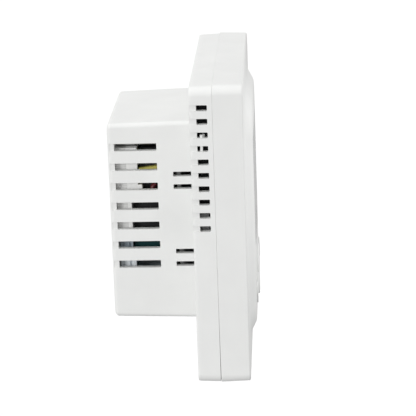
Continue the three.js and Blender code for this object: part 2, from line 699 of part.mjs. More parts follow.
// A ferrite core whose middle leg passes through a taped winding.
function transformer(base) {
  const { x, z, halfWidth, halfHeight, front, rear, leg } = CORE;
  const opening = halfWidth - leg;
  const windowFront = base + front + 2.5;
  const windowRear = base + rear - 2.5;
  const core = cut(
    block(x - halfWidth, x + halfWidth, base + front, base + rear, z - halfHeight, z + halfHeight),
    block(x - opening, x + opening, windowFront, windowRear, z - halfHeight - CUT, z + halfHeight + CUT),
  );
  const w = WINDING.halfWidth;
  const grip = WINDING.grip;
  const windingBody = slab(w, WINDING.halfHeight, 1, base + WINDING.front, base + WINDING.rear, x, z, 2);
  const channel = (y0, y1) => block(x - w - CUT, x + w + CUT, y0, y1, z - grip, z + grip);
  const winding = cut(
    windingBody,
    channel(base + front - GAP, windowFront + GAP),
    channel(windowRear - GAP, base + rear + GAP),
  );
  return [mesh('transformer_core', core, LOOK.ferrite), mesh('transformer_winding', winding, LOOK.tape)];
}

// A flat box capacitor that leans a little toward the bottom as it rises from the board.
function filmCapacitor(base) {
  const { x, z, lean, halfWidth, halfHeight, depth, corner } = FILM_CAPACITOR;
  const root = roundedOutline(halfWidth, halfHeight, corner, 2);
  const end = root.map((point) => [point[0], point[1] - lean]);
  const body = loft([{ outline: root, y: base }, { outline: end, y: base + depth }]);
  return mesh('film_capacitor', body.translate(x, 0, z), LOOK.film);
}

// A dipped capacitor that stands clear of the board on two legs.
function dippedCapacitor(base) {
  const { x, z, halfWidth, halfHeight, depth, corner, standoff, leg, legZ } = DIPPED_CAPACITOR;
  const front = base + standoff;
  const body = slab(halfWidth, halfHeight, corner, front, front + depth, x, z, 3);
  const legs = [z - legZ, z + legZ].map((at) => (
    block(x - leg, x + leg, base, front + corner, at - leg, at + leg)
  ));
  return mesh('dipped_capacitor', join(body, ...legs), LOOK.dipped);
}

function powerComponents() {
  const base = POWER_BOARD.rear + GAP;

  const { radius, length, round } = BULK_CAPACITOR;
  const can = [
    [0, base],
    [radius - round / 2, base],
    [radius, base + round],
    [radius, base + length - round],
    [radius - round, base + length],
    [0, base + length],
  ];
  const bulk = turned(can, BULK_CAPACITOR.x, BULK_CAPACITOR.z, 18);

  const fuse = bar(FUSE.radius, -FUSE.halfLength, FUSE.halfLength, 0, 0, 12)
    .rotateZ(Math.PI / 2)
    .translate(FUSE.x, base + FUSE.height, FUSE.z);

  return [
    ...relayParts(base),
    ...transformer(base),
    mesh('bulk_capacitor', bulk, LOOK.sleeve),
    filmCapacitor(base),
    dippedCapacitor(base),
    mesh('fuse', fuse, LOOK.glass),
  ];
}

function leads() {
  const base = POWER_BOARD.rear + GAP + WIRE_RADIUS + 0.1;
  const lead = (points) => wire(points.map(([x, height, z]) => [x, base + height, z]), WIRE_RADIUS);
  return [
    mesh('red_lead', lead(RED_WIRE), LOOK.redLead),
    mesh('black_lead', lead(BLACK_WIRE), LOOK.blackLead),
  ];
}

// ---------------------------------------------------------------- terminals

function terminalContact(x) {
  const { halfWidth, bore, front, rear, halfHeight, wall, tongue } = CONTACT;
  const z = TERMINAL.screwHeight;
  return cut(
    block(x - halfWidth, x + halfWidth, front, rear, z - halfHeight, z + halfHeight),
    block(x - bore, x + bore, front + wall, tongue, z - halfHeight - CUT, z + halfHeight + CUT),
    bar(bore + 0.1, tongue - 0.2, rear + CUT, x, z, 12),
  );
}

function terminalScrew(x) {
  const { tip, shank, head, seat, rear, round } = TERMINAL_SCREW;
  const z = TERMINAL.screwHeight;
  const profile = [
    [0, tip],
    [shank, tip],
    [shank, seat],
    [head, seat],
    [head, rear - round],
    [head - round, rear],
    [0, rear],
  ];
  const slotHalf = 0.3;
  return cut(
    turned(profile, x, z, 12),
    block(x - head - CUT, x + head + CUT, rear - 0.8, rear + CUT, z - slotHalf, z + slotHalf),
  );
}

function terminals() {
  const { bottom, top, front, rear, screwHeight } = TERMINAL;
  const ledge = TERMINAL_LEDGE;
  const reach = TERMINAL_COUNT * TERMINAL_PITCH / 2;
  const tools = [];
  const parts = [];
  for (let i = 0; i < TERMINAL_COUNT; i += 1) {
    const x = (i - (TERMINAL_COUNT - 1) / 2) * TERMINAL_PITCH;
    const [x0, x1] = [x - CHAMBER.halfWidth, x + CHAMBER.halfWidth];
    tools.push(bar(TERMINAL_SCREW.well, CHAMBER.rear - CUT, rear + CUT, x, screwHeight, 12));
    tools.push(block(x0, x1, CHAMBER.front, CHAMBER.rear, bottom - CUT, screwHeight + CHAMBER.top));
    parts.push(mesh(`terminal_contact_${i + 1}`, terminalContact(x), LOOK.brass));
    parts.push(mesh(`terminal_screw_${i + 1}`, terminalScrew(x), LOOK.steel));
  }
  for (const side of [-1, 1]) {
    const [x0, x1] = span(side, reach - LEDGE_GROOVES.depth, reach + CUT);
    for (const y of LEDGE_GROOVES.at) {
      const [y0, y1] = [y - LEDGE_GROOVES.halfWidth, y + LEDGE_GROOVES.halfWidth];
      tools.push(block(x0, x1, y0, y1, top - CUT * 2, ledge.top + CUT));
    }
  }
  const body = join(
    block(-reach, reach, front, rear, bottom, top),
    block(-reach, reach, ledge.lowerFront, ledge.rear, top - CUT, ledge.step),
    block(-reach, reach, ledge.upperFront, ledge.rear, top - CUT, ledge.top),
  );
  return [mesh('terminal_block', cut(body, ...tools), LOOK.terminal), ...parts];
}

// ---------------------------------------------------------------- assembly

const housing = new THREE.Group();
housing.add(rearHousing(), ...ventBaffles(), ...powerBoard(), ...powerComponents());
housing.add(...leads(), ...terminals());

const cover = new THREE.Group();
cover.add(frontCover(), ...displayStack(), ...displayBoard(), ...KEYS.flatMap(keySet));

const thermostat = new THREE.Group();
thermostat.add(housing, cover);

export default thermostat;
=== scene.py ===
"""A flush-mount wall thermostat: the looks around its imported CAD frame.

Shapes are written in millimetres and turned into metres where a mesh is made. X runs to the right seen
from the front, Y into the wall and Z up. The origin is the centre of the wall plane.
"""
import json
import math

import bmesh
import bpy
from mathutils import Matrix, Vector


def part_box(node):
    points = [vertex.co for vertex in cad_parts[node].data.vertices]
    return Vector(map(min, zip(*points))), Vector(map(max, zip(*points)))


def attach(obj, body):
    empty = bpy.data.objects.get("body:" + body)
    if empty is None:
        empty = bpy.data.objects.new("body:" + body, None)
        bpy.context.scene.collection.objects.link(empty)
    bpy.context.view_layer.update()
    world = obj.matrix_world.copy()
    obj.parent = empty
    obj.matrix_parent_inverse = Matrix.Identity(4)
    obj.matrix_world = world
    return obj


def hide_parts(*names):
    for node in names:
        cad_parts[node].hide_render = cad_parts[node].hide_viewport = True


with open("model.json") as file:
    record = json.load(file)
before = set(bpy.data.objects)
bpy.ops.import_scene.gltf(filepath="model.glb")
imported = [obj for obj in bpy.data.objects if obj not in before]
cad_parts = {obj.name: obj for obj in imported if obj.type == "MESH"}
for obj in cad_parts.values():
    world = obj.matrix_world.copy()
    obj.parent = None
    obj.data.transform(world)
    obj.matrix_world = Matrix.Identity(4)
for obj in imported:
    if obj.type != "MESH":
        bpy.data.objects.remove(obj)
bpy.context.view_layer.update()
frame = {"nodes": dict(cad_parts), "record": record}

MM = 0.001
BODY_OF = {node: body for body, nodes in frame["record"]["behaviour"]["bodies"].items() for node in nodes}
SLOT_OF = {part["node"]: part["material_slot"] for part in frame["record"]["subparts"]}


def box_mm(node):
    """A CAD node's lowest and highest corner, in millimetres."""
    low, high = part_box(node)
    return low / MM, high / MM


# ---- sizes, in millimetres

COVER_LOW, COVER_HIGH = box_mm("front_cover")
HOUSING_LOW, HOUSING_HIGH = box_mm("rear_housing")
PLATE_HALF = COVER_HIGH.x
RIM_HALF = HOUSING_HIGH.x
PANEL_FACE = COVER_LOW.y
RIM_FRONT = HOUSING_LOW.y
BOX_DEPTH = HOUSING_HIGH.y

CUT = 1  # a cutter reaches this far past the face it opens
EMBED = 0.2  # a solid reaches this far into the one it is united with
GAP = 0.3  # play between pieces that are pushed together
EDGE_BREAK = 0.14
MIN_CORNER = 0.4
INK = 0.03  # thickness of a printed sign

WALL = 2
PLATE_CORNER = 2.8
INNER_CORNER = PLATE_CORNER - 1.5
COVER_REAR = RIM_FRONT - 0.3
LIP_REAR = -5.3
LIP_WIDTH = 1
LIP_CORNER = 1
SEAM = -6.39
SEAM_GAP = 0.02
SEAM_ROUND = 0.12
SEAM_OPENING = {"width": 0.13, "top": -8, "middle": -26}
BORDER_FACE = -14.9
BORDER_REAR = BORDER_FACE + WALL
EDGE_ROUND = 0.6
COVER_DRAFT = 0.24
HOUSING_INSET = {"front": 0.04, "rear": 0.25}
HOUSING_Z = -0.09
RIM_INNER = 40.7
PANEL_Z = 0.6
PANEL_TOP_HALF = 29.6
PANEL_BASE_HALF = 34.6
PANEL_CORNER = 5.5
PANEL_CROWN = 0.25
PANEL_BACK = PANEL_FACE + 2.6
BACK_PANEL = 1.8

BOX_HALF_WIDTH = 24.1
BOX_HALF_HEIGHT = 29.3
BOX_DRAFT = 0.6
BOX_CORNER = 1.3
BOX_EDGE = 1.2
BOX_REAR_WALL = 1.9
CAVITY_REAR = BOX_DEPTH - BOX_REAR_WALL
RECESS = 0.35
SLOT_CORNER = 0.22
REAR_ROUND = {"inset": 0.35, "reach": 1.3}

VENTS = {"count": 10, "top": 36.86, "pitch": 3.8, "height": 1.65, "front": -4.95, "rear": -1.95}
SLOTS = {"count": 7, "top": 21.9, "pitch": 5.775, "height": 2.2, "front": 10.55, "rear": 24.1}
CLIP_SLOTS = {"at": (13.85, 10.15, -9.05, -12.8), "height": 1.4, "front": 0.05, "rear": 6.1}

CATCH = {"inner": 40.6, "outer": 42, "front": -3.45, "rear": -2.75, "bottom": 24.4, "top": 29.2}
CATCH_NOSE = {"inner": 39.9, "outer": 41, "front": -4, "bottom": 28}
BOX_BAR = {"inner": 19.6, "outer": 20.2, "wall": 22.3, "front": 4.1, "rear": 5.2, "half": 17, "foot": 1.2}
SNAP = {"height": 26.5, "width": 2.2, "thickness": 0.7, "inset": 1.5, "rear": -2.7}
SCREW_PAD = (3.9, 6.5, 1.5)  # half width, half height, corner
SCREW_SLOT = (2.3, 4.5, 2.29)
PAD_HEIGHT = 1.3
BOARD_POST = {"x": 18.2, "radius": 1.9, "bore": 1.4, "bore_depth": 6.5}
COVER_POST = {"at": 33.5, "radius": 2.4, "bore": 1.2, "floor": 0.6}

WINDOW_Z = 7.5
WINDOW = {"inset": 1.6, "corner": 1.2, "seat_corner": 2}
LENS = {"sunk": 0.15, "edge": 0.25, "corner": 1.8, "border": 2.6, "print_corner": 0.6}
PIN_PITCH = 2.54
PINS = 8
KEY_ROW = -22
KEYS = {"menu": -23.5, "down": -14.2, "power": 0, "up": 14.2, "clock": 23.5}
LARGE_KEY = {"hole": 7.8, "ring": 1.8, "segments": 72,
             "dish": ((1.0, 0.15), (0.75, 0.37), (0.45, 0.37), (0.2, 0.02))}
SMALL_KEY = {"hole": 3.3, "ring": 0.9, "segments": 48, "dish": ((0.3, 0.15),)}
KEY_STYLE = {name: LARGE_KEY if name == "power" else SMALL_KEY for name in KEYS}
KEY_FLANGE = {"width": 1, "thickness": 0.5}
KEY_EDGE = 0.3
KEY_STEM = 1.7
TERMINALS = 6
TERMINAL_PITCH = 6.8
TERMINAL_WINDOW_DEPTH = 4
WIRE_ENTRY = {"inset": 2, "front": 12.6, "rear": 20.4}
SCREW_PITCH = 60
TERMINAL_TOP = -15.3
LEDGE = {"top": -5.1, "step": -10.8}
RIBS = {"count": 7, "rear": 22.05, "pitch": 0.47, "width": 0.2, "depth": 0.35}
RELAY_DARKER_FROM = 19.6


def middle(low, high):
    return [(a + b) / 2 for a, b in zip(low, high)]


def centred(count, pitch):
    """Places of evenly pitched things about their middle."""
    return [(i - (count - 1) / 2) * pitch for i in range(count)]


# ---- material helpers


class Finish:
    """A procedural material: one Principled shader and the nodes that feed it."""

    def __init__(self, name, rough, metal=0.0, **sockets):
        self.material = bpy.data.materials.new(name)
        self.material.use_nodes = True
        self.tree = self.material.node_tree
        self.shader = self.tree.nodes["Principled BSDF"]
        self.shader.inputs["Metallic"].default_value = metal
        self.shader.inputs["Roughness"].default_value = rough
        for socket, value in sockets.items():
            self.shader.inputs[socket.replace("_", " ")].default_value = value
        self.place = self.add("ShaderNodeTexCoord").outputs["Object"]

    def add(self, kind, inputs=None, **settings):
        node = self.tree.nodes.new(kind)
        for key, value in settings.items():
            setattr(node, key, value)
        for key, value in (inputs or {}).items():
            if isinstance(value, bpy.types.NodeSocket):
                self.tree.links.new(value, node.inputs[key])
            else:
                node.inputs[key].default_value = value
        return node

    def noise(self, size_mm, detail=2.0, stretch=(1, 1, 1)):
        """Noise whose features are about size_mm across."""
        where = self.add("ShaderNodeMapping", {"Vector": self.place, "Scale": stretch}).outputs[0]
        scale = 1 / (size_mm * MM)
        return self.add("ShaderNodeTexNoise", {"Vector": where, "Scale": scale, "Detail": detail}).outputs[0]

    def ramp(self, factor, low, high, start=0.35, end=0.65):
        node = self.add("ShaderNodeValToRGB", {"Fac": factor})
        node.color_ramp.elements[0].position = start
        node.color_ramp.elements[1].position = end
        node.color_ramp.elements[0].color = (*low, 1)
        node.color_ramp.elements[1].color = (*high, 1)
        return node.outputs[0]

    def colour(self, factor, low, high, start=0.35, end=0.65):
        self.tree.links.new(self.ramp(factor, low, high, start, end), self.shader.inputs["Base Color"])

    def roughness(self, factor, low, high):
        node = self.add("ShaderNodeMapRange", {"Value": factor, "To Min": low, "To Max": high})
        self.tree.links.new(node.outputs[0], self.shader.inputs["Roughness"])

    def bump(self, height, depth_mm, strength=0.3):
        node = self.add("ShaderNodeBump", {"Height": height, "Distance": depth_mm * MM, "Strength": strength})
        self.tree.links.new(node.outputs[0], self.shader.inputs["Normal"])


def shade(colour, factor):
    return tuple(min(1.0, channel * factor) for channel in colour)


def plastic(name, colour, rough, grain_mm=0.35, depth_mm=0.012, specular=0.5):
    """Moulded plastic: a fine spark-eroded grain, a faint flow mottle and uneven gloss."""
    finish = Finish(name, rough, Specular_IOR_Level=specular)
    mottle = finish.noise(9, 3.0)
    finish.colour(mottle, shade(colour, 0.985), shade(colour, 1.01))
    finish.roughness(finish.noise(2.5, 3.0), rough - 0.05, rough + 0.06)
    finish.bump(finish.noise(grain_mm, 2.0), depth_mm, 0.25)
    return finish.material


def metal(name, colour, rough, stretch=(1, 1, 1)):
    finish = Finish(name, rough, 1.0)
    streaks = finish.noise(0.3, 3.0, stretch)
    finish.colour(finish.noise(1.5, 3.0), shade(colour, 0.8), shade(colour, 1.08))
    finish.roughness(streaks, rough - 0.1, rough + 0.14)
    finish.bump(streaks, 0.01, 0.3)
    return finish.material


def circuit_board():
    """Green solder mask over tracks that stand a little proud, with a scatter of plated holes."""
    finish = Finish("solder_mask", 0.3, Coat_Weight=0.4, Coat_Roughness=0.2)
    cells = finish.add("ShaderNodeTexVoronoi", {"Vector": finish.place, "Scale": 330.0},
                       feature="DISTANCE_TO_EDGE", distance="EUCLIDEAN")
    tracks = finish.ramp(cells.outputs[0], (1, 1, 1), (0, 0, 0), 0.05, 0.09)
    finish.colour(tracks, (0.012, 0.085, 0.045), (0.03, 0.17, 0.085), 0.3, 0.7)
    finish.roughness(finish.noise(4), 0.24, 0.36)
    finish.bump(tracks, 0.035, 0.6)
    return finish.material


def taped(name, colour):
    """Glossy film tape with the faint edge of each turn showing."""
    finish = Finish(name, 0.3)
    turns = finish.add("ShaderNodeTexWave", {"Vector": finish.place, "Scale": 160.0, "Distortion": 1.5},
                       wave_type="BANDS", bands_direction="Y").outputs[1]
    finish.colour(turns, shade(colour, 0.86), colour, 0.1, 0.4)
    finish.roughness(finish.noise(3), 0.22, 0.38)
    finish.bump(turns, 0.05, 0.4)
    return finish.material


def relay_case(name, colour):
    """A smooth moulding whose rear part, behind a set depth, is painted darker in fine bands that also stand
    out as ribs.
    """
    finish = Finish(name, 0.35)
    depth = finish.add("ShaderNodeSeparateXYZ", {"Vector": finish.place}).outputs["Y"]
    line = {"Value": depth, "From Min": (RELAY_DARKER_FROM - 0.04) * MM, "From Max": (RELAY_DARKER_FROM + 0.04) * MM}
    behind = finish.add("ShaderNodeMapRange", line).outputs[0]
    ribs = finish.add("ShaderNodeTexWave", {"Vector": finish.place, "Scale": 560.0, "Distortion": 0.6},
                      wave_type="BANDS", bands_direction="Z").outputs[1]
    shades = finish.add("ShaderNodeMapRange", {"Value": ribs, "To Min": 1.0, "To Max": 0.55}).outputs[0]
    tone = finish.add("ShaderNodeMath", {0: behind, 1: shades}, operation="MULTIPLY").outputs[0]
    # the rear part painted darker, in fine bands
    finish.colour(tone, colour, shade(colour, 0.75), 0.0, 1.0)
    finish.bump(tone, 0.05, 0.4)
    return finish.material


def glass(name, colour, rough=0.03):
    """Clear glass or acrylic, barely uneven."""
    finish = Finish(name, rough, Transmission_Weight=1.0, IOR=1.49)
    finish.colour(finish.noise(20), shade(colour, 0.98), colour)
    finish.roughness(finish.noise(6), rough, rough + 0.03)
    return finish.material


WHITE = (0.80, 0.805, 0.795)

PLASTICS = {  # colour, roughness, grain and its depth in millimetres, and specular level
    "case_white": (WHITE, 0.52, 0.35, 0.012, 0.15),
    "key_white": ((0.82, 0.825, 0.815), 0.4, 0.5, 0.008),
    "frame_white": ((0.74, 0.74, 0.72), 0.45),
    "light_guide": ((0.86, 0.88, 0.9), 0.25, 0.8),
    "connector_rubber": ((0.55, 0.37, 0.35), 0.7),
    "black_plastic": ((0.012, 0.012, 0.014), 0.45),
    "grey_plastic": ((0.5, 0.5, 0.505), 0.5),
    "ferrite": ((0.025, 0.025, 0.028), 0.6, 0.25, 0.03),
    "capacitor_sleeve": ((0.016, 0.018, 0.024), 0.3, 1.5),
    "film_capacitor": ((0.60, 0.54, 0.14), 0.3, 1.2),
    "dipped_coat": ((0.008, 0.05, 0.052), 0.3, 1.6, 0.04),
    "red_lead": ((0.10, 0.005, 0.011), 0.4, 0.8),
    "black_lead": ((0.01, 0.01, 0.012), 0.4, 0.8),
    "terminal_grey": ((0.36, 0.42, 0.47), 0.45),
    "terminal_pale": ((0.78, 0.82, 0.85), 0.4),
    "lcd_glass": ((0.235, 0.275, 0.215), 0.16, 6, 0.004),
    "lens_print": ((0.02, 0.022, 0.026), 0.3, 2, 0.002),
    "lcd_ink": ((0.165, 0.195, 0.155), 0.2, 6, 0.002),
    "key_ink": ((0.30, 0.31, 0.32), 0.5, 1, 0.002),
}

MATERIALS = {name: plastic(name, *values) for name, values in PLASTICS.items()} | {
    "circuit_board": circuit_board(),
    "pin_brass": metal("pin_brass", (0.75, 0.55, 0.25), 0.3),
    "relay_white": relay_case("relay_white", (0.88, 0.88, 0.87)),
    "winding_tape": taped("winding_tape", (0.70, 0.62, 0.10)),
    "fuse_glass": glass("fuse_glass", (0.93, 0.96, 0.95)),
    "screw_steel": metal("screw_steel", (0.62, 0.63, 0.64), 0.32, stretch=(1, 6, 1)),
    "lens": glass("lens", (0.82, 0.86, 0.88), 0.02),
    "solder": metal("solder", (0.66, 0.67, 0.68), 0.28),
    "aluminium": metal("aluminium", (0.78, 0.79, 0.80), 0.34),
}


# ---- mesh helpers


def linked(name, data):
    thing = bpy.data.objects.new(name, data)
    bpy.context.scene.collection.objects.link(thing)
    return thing


def new_object(name, bm):
    bm.normal_update()
    data = bpy.data.meshes.new(name)
    bm.to_mesh(data)
    bm.free()
    return linked(name, data)


def skin(bm, rings, capped=True):
    """Faces between neighbouring rings of equal length, and a cap on each end."""
    count = len(rings[0])
    for front, rear in zip(rings, rings[1:]):
        for i in range(count):
            j = (i + 1) % count
            bm.faces.new((front[i], rear[i], rear[j], front[j]))
    if capped:
        bm.faces.new(rings[0])
        bm.faces.new(list(reversed(rings[-1])))


def outline(half_width, half_height, corner, steps=10):
    """A rounded rectangle in the XZ plane, anticlockwise seen from the front."""
    points = []
    for quarter, (sx, sz) in enumerate(((1, 1), (-1, 1), (-1, -1), (1, -1))):
        for i in range(steps + 1):
            angle = (quarter + i / steps) * math.pi / 2
            x = sx * (half_width - corner) + corner * math.cos(angle)
            z = sz * (half_height - corner) + corner * math.sin(angle)
            points.append((x, z))
    return points


def arc(count):
    """The sine and cosine of each step of a quarter turn."""
    turns = [math.pi / 2 * i / count for i in range(count + 1)]
    return [(math.sin(turn), math.cos(turn)) for turn in turns]


def loft(name, sections, x=0.0, z=0.0):
    """A closed solid through outlines of equal length, each at its own depth, from front to rear."""
    bm = bmesh.new()
    rings = []
    for points, y in sections:
        rings.append([bm.verts.new(((px + x) * MM, y * MM, (pz + z) * MM)) for px, pz in points])
    skin(bm, rings)
    bmesh.ops.recalc_face_normals(bm, faces=bm.faces)
    return new_object(name, bm)


def slab(name, half_width, half_height, corner, y0, y1, x=0.0, z=0.0):
    points = outline(half_width, half_height, corner)
    return loft(name, [(points, y0), (points, y1)], x, z)


def turned(name, profile, x, z, segments=64):
    """A solid turned about an axis along Y, from a list of (radius, y) that starts and ends on it."""
    bm = bmesh.new()
    rings = []
    for radius, y in profile:
        if radius == 0:
            rings.append([bm.verts.new((x * MM, y * MM, z * MM))])
            continue
        angles = [2 * math.pi * i / segments for i in range(segments)]
        places = [(x + radius * math.cos(a), y, z + radius * math.sin(a)) for a in angles]
        rings.append([bm.verts.new(Vector(place) * MM) for place in places])
    for first, second in zip(rings, rings[1:]):
        for i in range(segments):
            j = (i + 1) % segments
            if len(first) == 1:
                bm.faces.new((first[0], second[i], second[j]))
            elif len(second) == 1:
                bm.faces.new((first[i], second[0], first[j]))
            else:
                bm.faces.new((first[i], second[i], second[j], first[j]))
    bmesh.ops.recalc_face_normals(bm, faces=bm.faces)
    return new_object(name, bm)


def cylinder(name, radius, y0, y1, x, z, segments=48):
    return turned(name, [(0, y0), (radius, y0), (radius, y1), (0, y1)], x, z, segments)


def boxes(name, spans):
    """One mesh of plain boxes, each given as x0, x1, y0, y1, z0, z1."""
    bm = bmesh.new()
    for x0, x1, y0, y1, z0, z1 in spans:
        size = Matrix.Diagonal(((x1 - x0) * MM, (y1 - y0) * MM, (z1 - z0) * MM, 1))
        place = Matrix.Translation(Vector(((x0 + x1) / 2, (y0 + y1) / 2, (z0 + z1) / 2)) * MM)
        bmesh.ops.create_cube(bm, size=1, matrix=place @ size)
    return new_object(name, bm)


def slot_cutters(name, spans):
    """Bars along X, each given as x0, x1, y0, y1, z0, z1, with corners rounded in the YZ plane."""
    bm = bmesh.new()
    for x0, x1, y0, y1, z0, z1 in spans:
        points = outline((y1 - y0) / 2, (z1 - z0) / 2, SLOT_CORNER, 4)
        y, z = (y0 + y1) / 2, (z0 + z1) / 2
        skin(bm, [[bm.verts.new(Vector((x, y + py, z + pz)) * MM) for py, pz in points] for x in (x0, x1)])
    bmesh.ops.recalc_face_normals(bm, faces=bm.faces)
    return new_object(name, bm)


def joined(things):
    """One mesh object out of several, which are removed."""
    bm = bmesh.new()
    for thing in things:
        bm.from_mesh(thing.data)
    name = things[0].name
    for thing in things:
        bpy.data.objects.remove(thing)
    return new_object(name, bm)


def apply_modifiers(thing):
    graph = bpy.context.evaluated_depsgraph_get()
    data = bpy.data.meshes.new_from_object(thing.evaluated_get(graph))
    thing.modifiers.clear()
    old = thing.data
    thing.data = data
    bpy.data.meshes.remove(old)
    return thing


def boolean(thing, tool, operation="DIFFERENCE"):
    modifier = thing.modifiers.new("cut", "BOOLEAN")
    modifier.operation = operation
    modifier.solver = "EXACT"
    modifier.object = tool
    apply_modifiers(thing)
    bpy.data.objects.remove(tool)
    return thing


def tidy_faces(thing, angle=0.5):
    """Merges doubled points and flat neighbours, so that only real edges are left to round."""
    bm = bmesh.new()
    bm.from_mesh(thing.data)
    bmesh.ops.remove_doubles(bm, verts=bm.verts, dist=0.004 * MM)
    bmesh.ops.dissolve_degenerate(bm, edges=bm.edges, dist=0.002 * MM)
    bmesh.ops.dissolve_limit(bm, angle_limit=math.radians(angle), verts=bm.verts, edges=bm.edges)
    bm.to_mesh(thing.data)
    bm.free()
    return thing


def bisect(thing, heights):
    """Adds an edge all round a mesh at each height."""
    bm = bmesh.new()
    bm.from_mesh(thing.data)
    for z in heights:
        everything = bm.verts[:] + bm.edges[:] + bm.faces[:]
        bmesh.ops.bisect_plane(bm, geom=everything, plane_co=(0, 0, z * MM), plane_no=(0, 0, 1))
    bm.to_mesh(thing.data)
    bm.free()


def soften(thing, width, segments=3, angle=32):
    """Rounds every real edge and gives the faces smooth, flat-faced shading."""
    if width:
        bevel = thing.modifiers.new("round", "BEVEL")
        bevel.width = width * MM
        bevel.segments = segments
        bevel.limit_method = "ANGLE"
        bevel.angle_limit = math.radians(angle)
        bevel.use_clamp_overlap = True
        bevel.miter_outer = "MITER_ARC"
        apply_modifiers(thing)
    for face in thing.data.polygons:
        face.use_smooth = True
    thing.data.set_sharp_from_angle(angle=math.radians(40))
    weighted = thing.modifiers.new("normals", "WEIGHTED_NORMAL")
    weighted.keep_sharp = True
    weighted.weight = 80
    return apply_modifiers(thing)


def dress(thing, material, body, stands_for=()):
    """Gives a finished piece its material and hands it to the frame."""
    thing.data.materials.clear()
    for name in [material] if isinstance(material, str) else material:
        thing.data.materials.append(MATERIALS[name])
    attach(thing, body)
    if stands_for:
        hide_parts(*([stands_for] if isinstance(stands_for, str) else stands_for))


def stand_in(thing, node, material=None):
    """A finished piece that takes the place of one CAD node."""
    dress(thing, material or SLOT_OF[node], BODY_OF[node], node)


def repaint(thing, test):
    """Gives each face whose centre, in millimetres, passes the test the second of the piece's materials."""
    for face in thing.data.polygons:
        if test(face.center / MM):
            face.material_index = 1


def bare_copy(node):
    """A copy of a CAD node's shape, to be worked on."""
    return tidy_faces(linked(f"{node}_body", frame["nodes"][node].data.copy()))


def rounded_copies(widths, segments=3):
    """CAD nodes whose shape is right, each with its edges rounded by a width."""
    for node, width in widths.items():
        stand_in(soften(bare_copy(node), width, segments), node)


def mirrored(x0, x1, side):
    """A span along X, mirrored for the left side."""
    return (x0, x1) if side > 0 else (-x1, -x0)


# ---- rear housing


def box_section(y, inset=0.0, shrink=0.0):
    """Outline of the rear box at a depth, drawn in by an inset."""
    lean = BOX_DRAFT * max(y, -BACK_PANEL) / BOX_DEPTH + inset
    corner = max(BOX_CORNER - shrink, MIN_CORNER)
    return (outline(BOX_HALF_WIDTH - lean, BOX_HALF_HEIGHT - lean, corner, 8), y)


def square(half, inset, steps=10):
    """Outline of the plate or the cover, drawn in by an inset."""
    return outline(half - inset, half - inset, PLATE_CORNER - inset, steps)


def plate_and_box():
    """The square plate with its rim, and the box behind it, as one closed solid."""
    rings = []
    for sine, cosine in arc(3):
        inset = HOUSING_INSET["front"] + SEAM_ROUND * (1 - sine)
        rings.append((square(RIM_HALF, inset), SEAM + SEAM_GAP / 2 + SEAM_ROUND * (1 - cosine)))
    for sine, cosine in arc(6):
        inset = HOUSING_INSET["rear"] + REAR_ROUND["inset"] * (1 - cosine)
        rings.append((square(RIM_HALF, inset), -REAR_ROUND["reach"] * (1 - sine)))
    body = loft("housing_shell", rings, 0, HOUSING_Z)
    sections = [box_section(-BACK_PANEL + EMBED)]
    for sine, cosine in arc(6):
        sections.append(box_section(BOX_DEPTH - BOX_EDGE * (1 - sine), BOX_EDGE * (1 - cosine)))
    return boolean(body, loft("outer_box", sections), "UNION")


def rows_of(openings):
    """The foot and top of each opening in an evenly pitched column."""
    half = openings["height"] / 2
    middles = [openings["top"] - openings["pitch"] * i for i in range(openings["count"])]
    return [(z - half, z + half) for z in middles]


def side_openings():
    """Vents in the rim and slots in the box, and the shallow step behind each in the wall's outside."""
    overlap = 0.1
    through, steps = [], []
    for side in (-1, 1):
        wall = mirrored(RIM_INNER - overlap, RIM_HALF + CUT, side)
        skin_deep = mirrored(RIM_HALF - HOUSING_INSET["rear"] - RECESS, RIM_HALF + CUT, side)
        for row in rows_of(VENTS):
            through.append((*wall, VENTS["front"], VENTS["rear"], *row))
            steps.append((*skin_deep, VENTS["rear"] - CUT, CUT, *row))
        wall = mirrored(BOX_HALF_WIDTH - BOX_DRAFT - WALL - overlap, BOX_HALF_WIDTH + CUT, side)
        skin_deep = mirrored(BOX_HALF_WIDTH - BOX_DRAFT - RECESS, BOX_HALF_WIDTH + CUT, side)
        for row in rows_of(SLOTS):
            through.append((*wall, SLOTS["front"], CAVITY_REAR, *row))
            steps.append((*skin_deep, CAVITY_REAR - CUT, SLOTS["rear"], *row))
        half = CLIP_SLOTS["height"] / 2
        for z in CLIP_SLOTS["at"]:
            through.append((*wall, CLIP_SLOTS["front"], CLIP_SLOTS["rear"], z - half, z + half))
    return through, steps


def inner_details():
    """The catches that cross two vents, their noses, and the bars behind the clip slots."""
    catch, nose, bar = CATCH, CATCH_NOSE, BOX_BAR
    spans = []
    for side in (-1, 1):
        across = mirrored(catch["inner"], catch["outer"], side)
        spans.append((*across, catch["front"], catch["rear"], catch["bottom"], catch["top"]))
        across = mirrored(nose["inner"], nose["outer"], side)
        spans.append((*across, nose["front"], catch["front"] + 0.15, nose["bottom"], catch["top"]))
        across = mirrored(bar["inner"], bar["outer"], side)
        spans.append((*across, bar["front"], bar["rear"], -bar["half"], bar["half"]))
        across = mirrored(bar["inner"] + 0.1, bar["wall"], side)
        for z0 in (-bar["half"], bar["half"] - bar["foot"]):
            spans.append((*across, bar["front"], bar["rear"], z0, z0 + bar["foot"]))
    return spans


def screw_mounts(body, board_rear, post_z):
    """Adds the pads around the wall screws' slots and the posts of the power board's screws."""
    post = BOARD_POST
    for side in (-1, 1):
        front, rear, x = -BACK_PANEL - PAD_HEIGHT, -BACK_PANEL + EMBED, side * SCREW_PITCH / 2
        boolean(body, slab("screw_pad", *SCREW_PAD, front, rear, x, 0), "UNION")
        front, rear, x = board_rear + GAP, CAVITY_REAR + EMBED, side * post["x"]
        boolean(body, cylinder("board_post", post["radius"], front, rear, x, post_z, 32), "UNION")


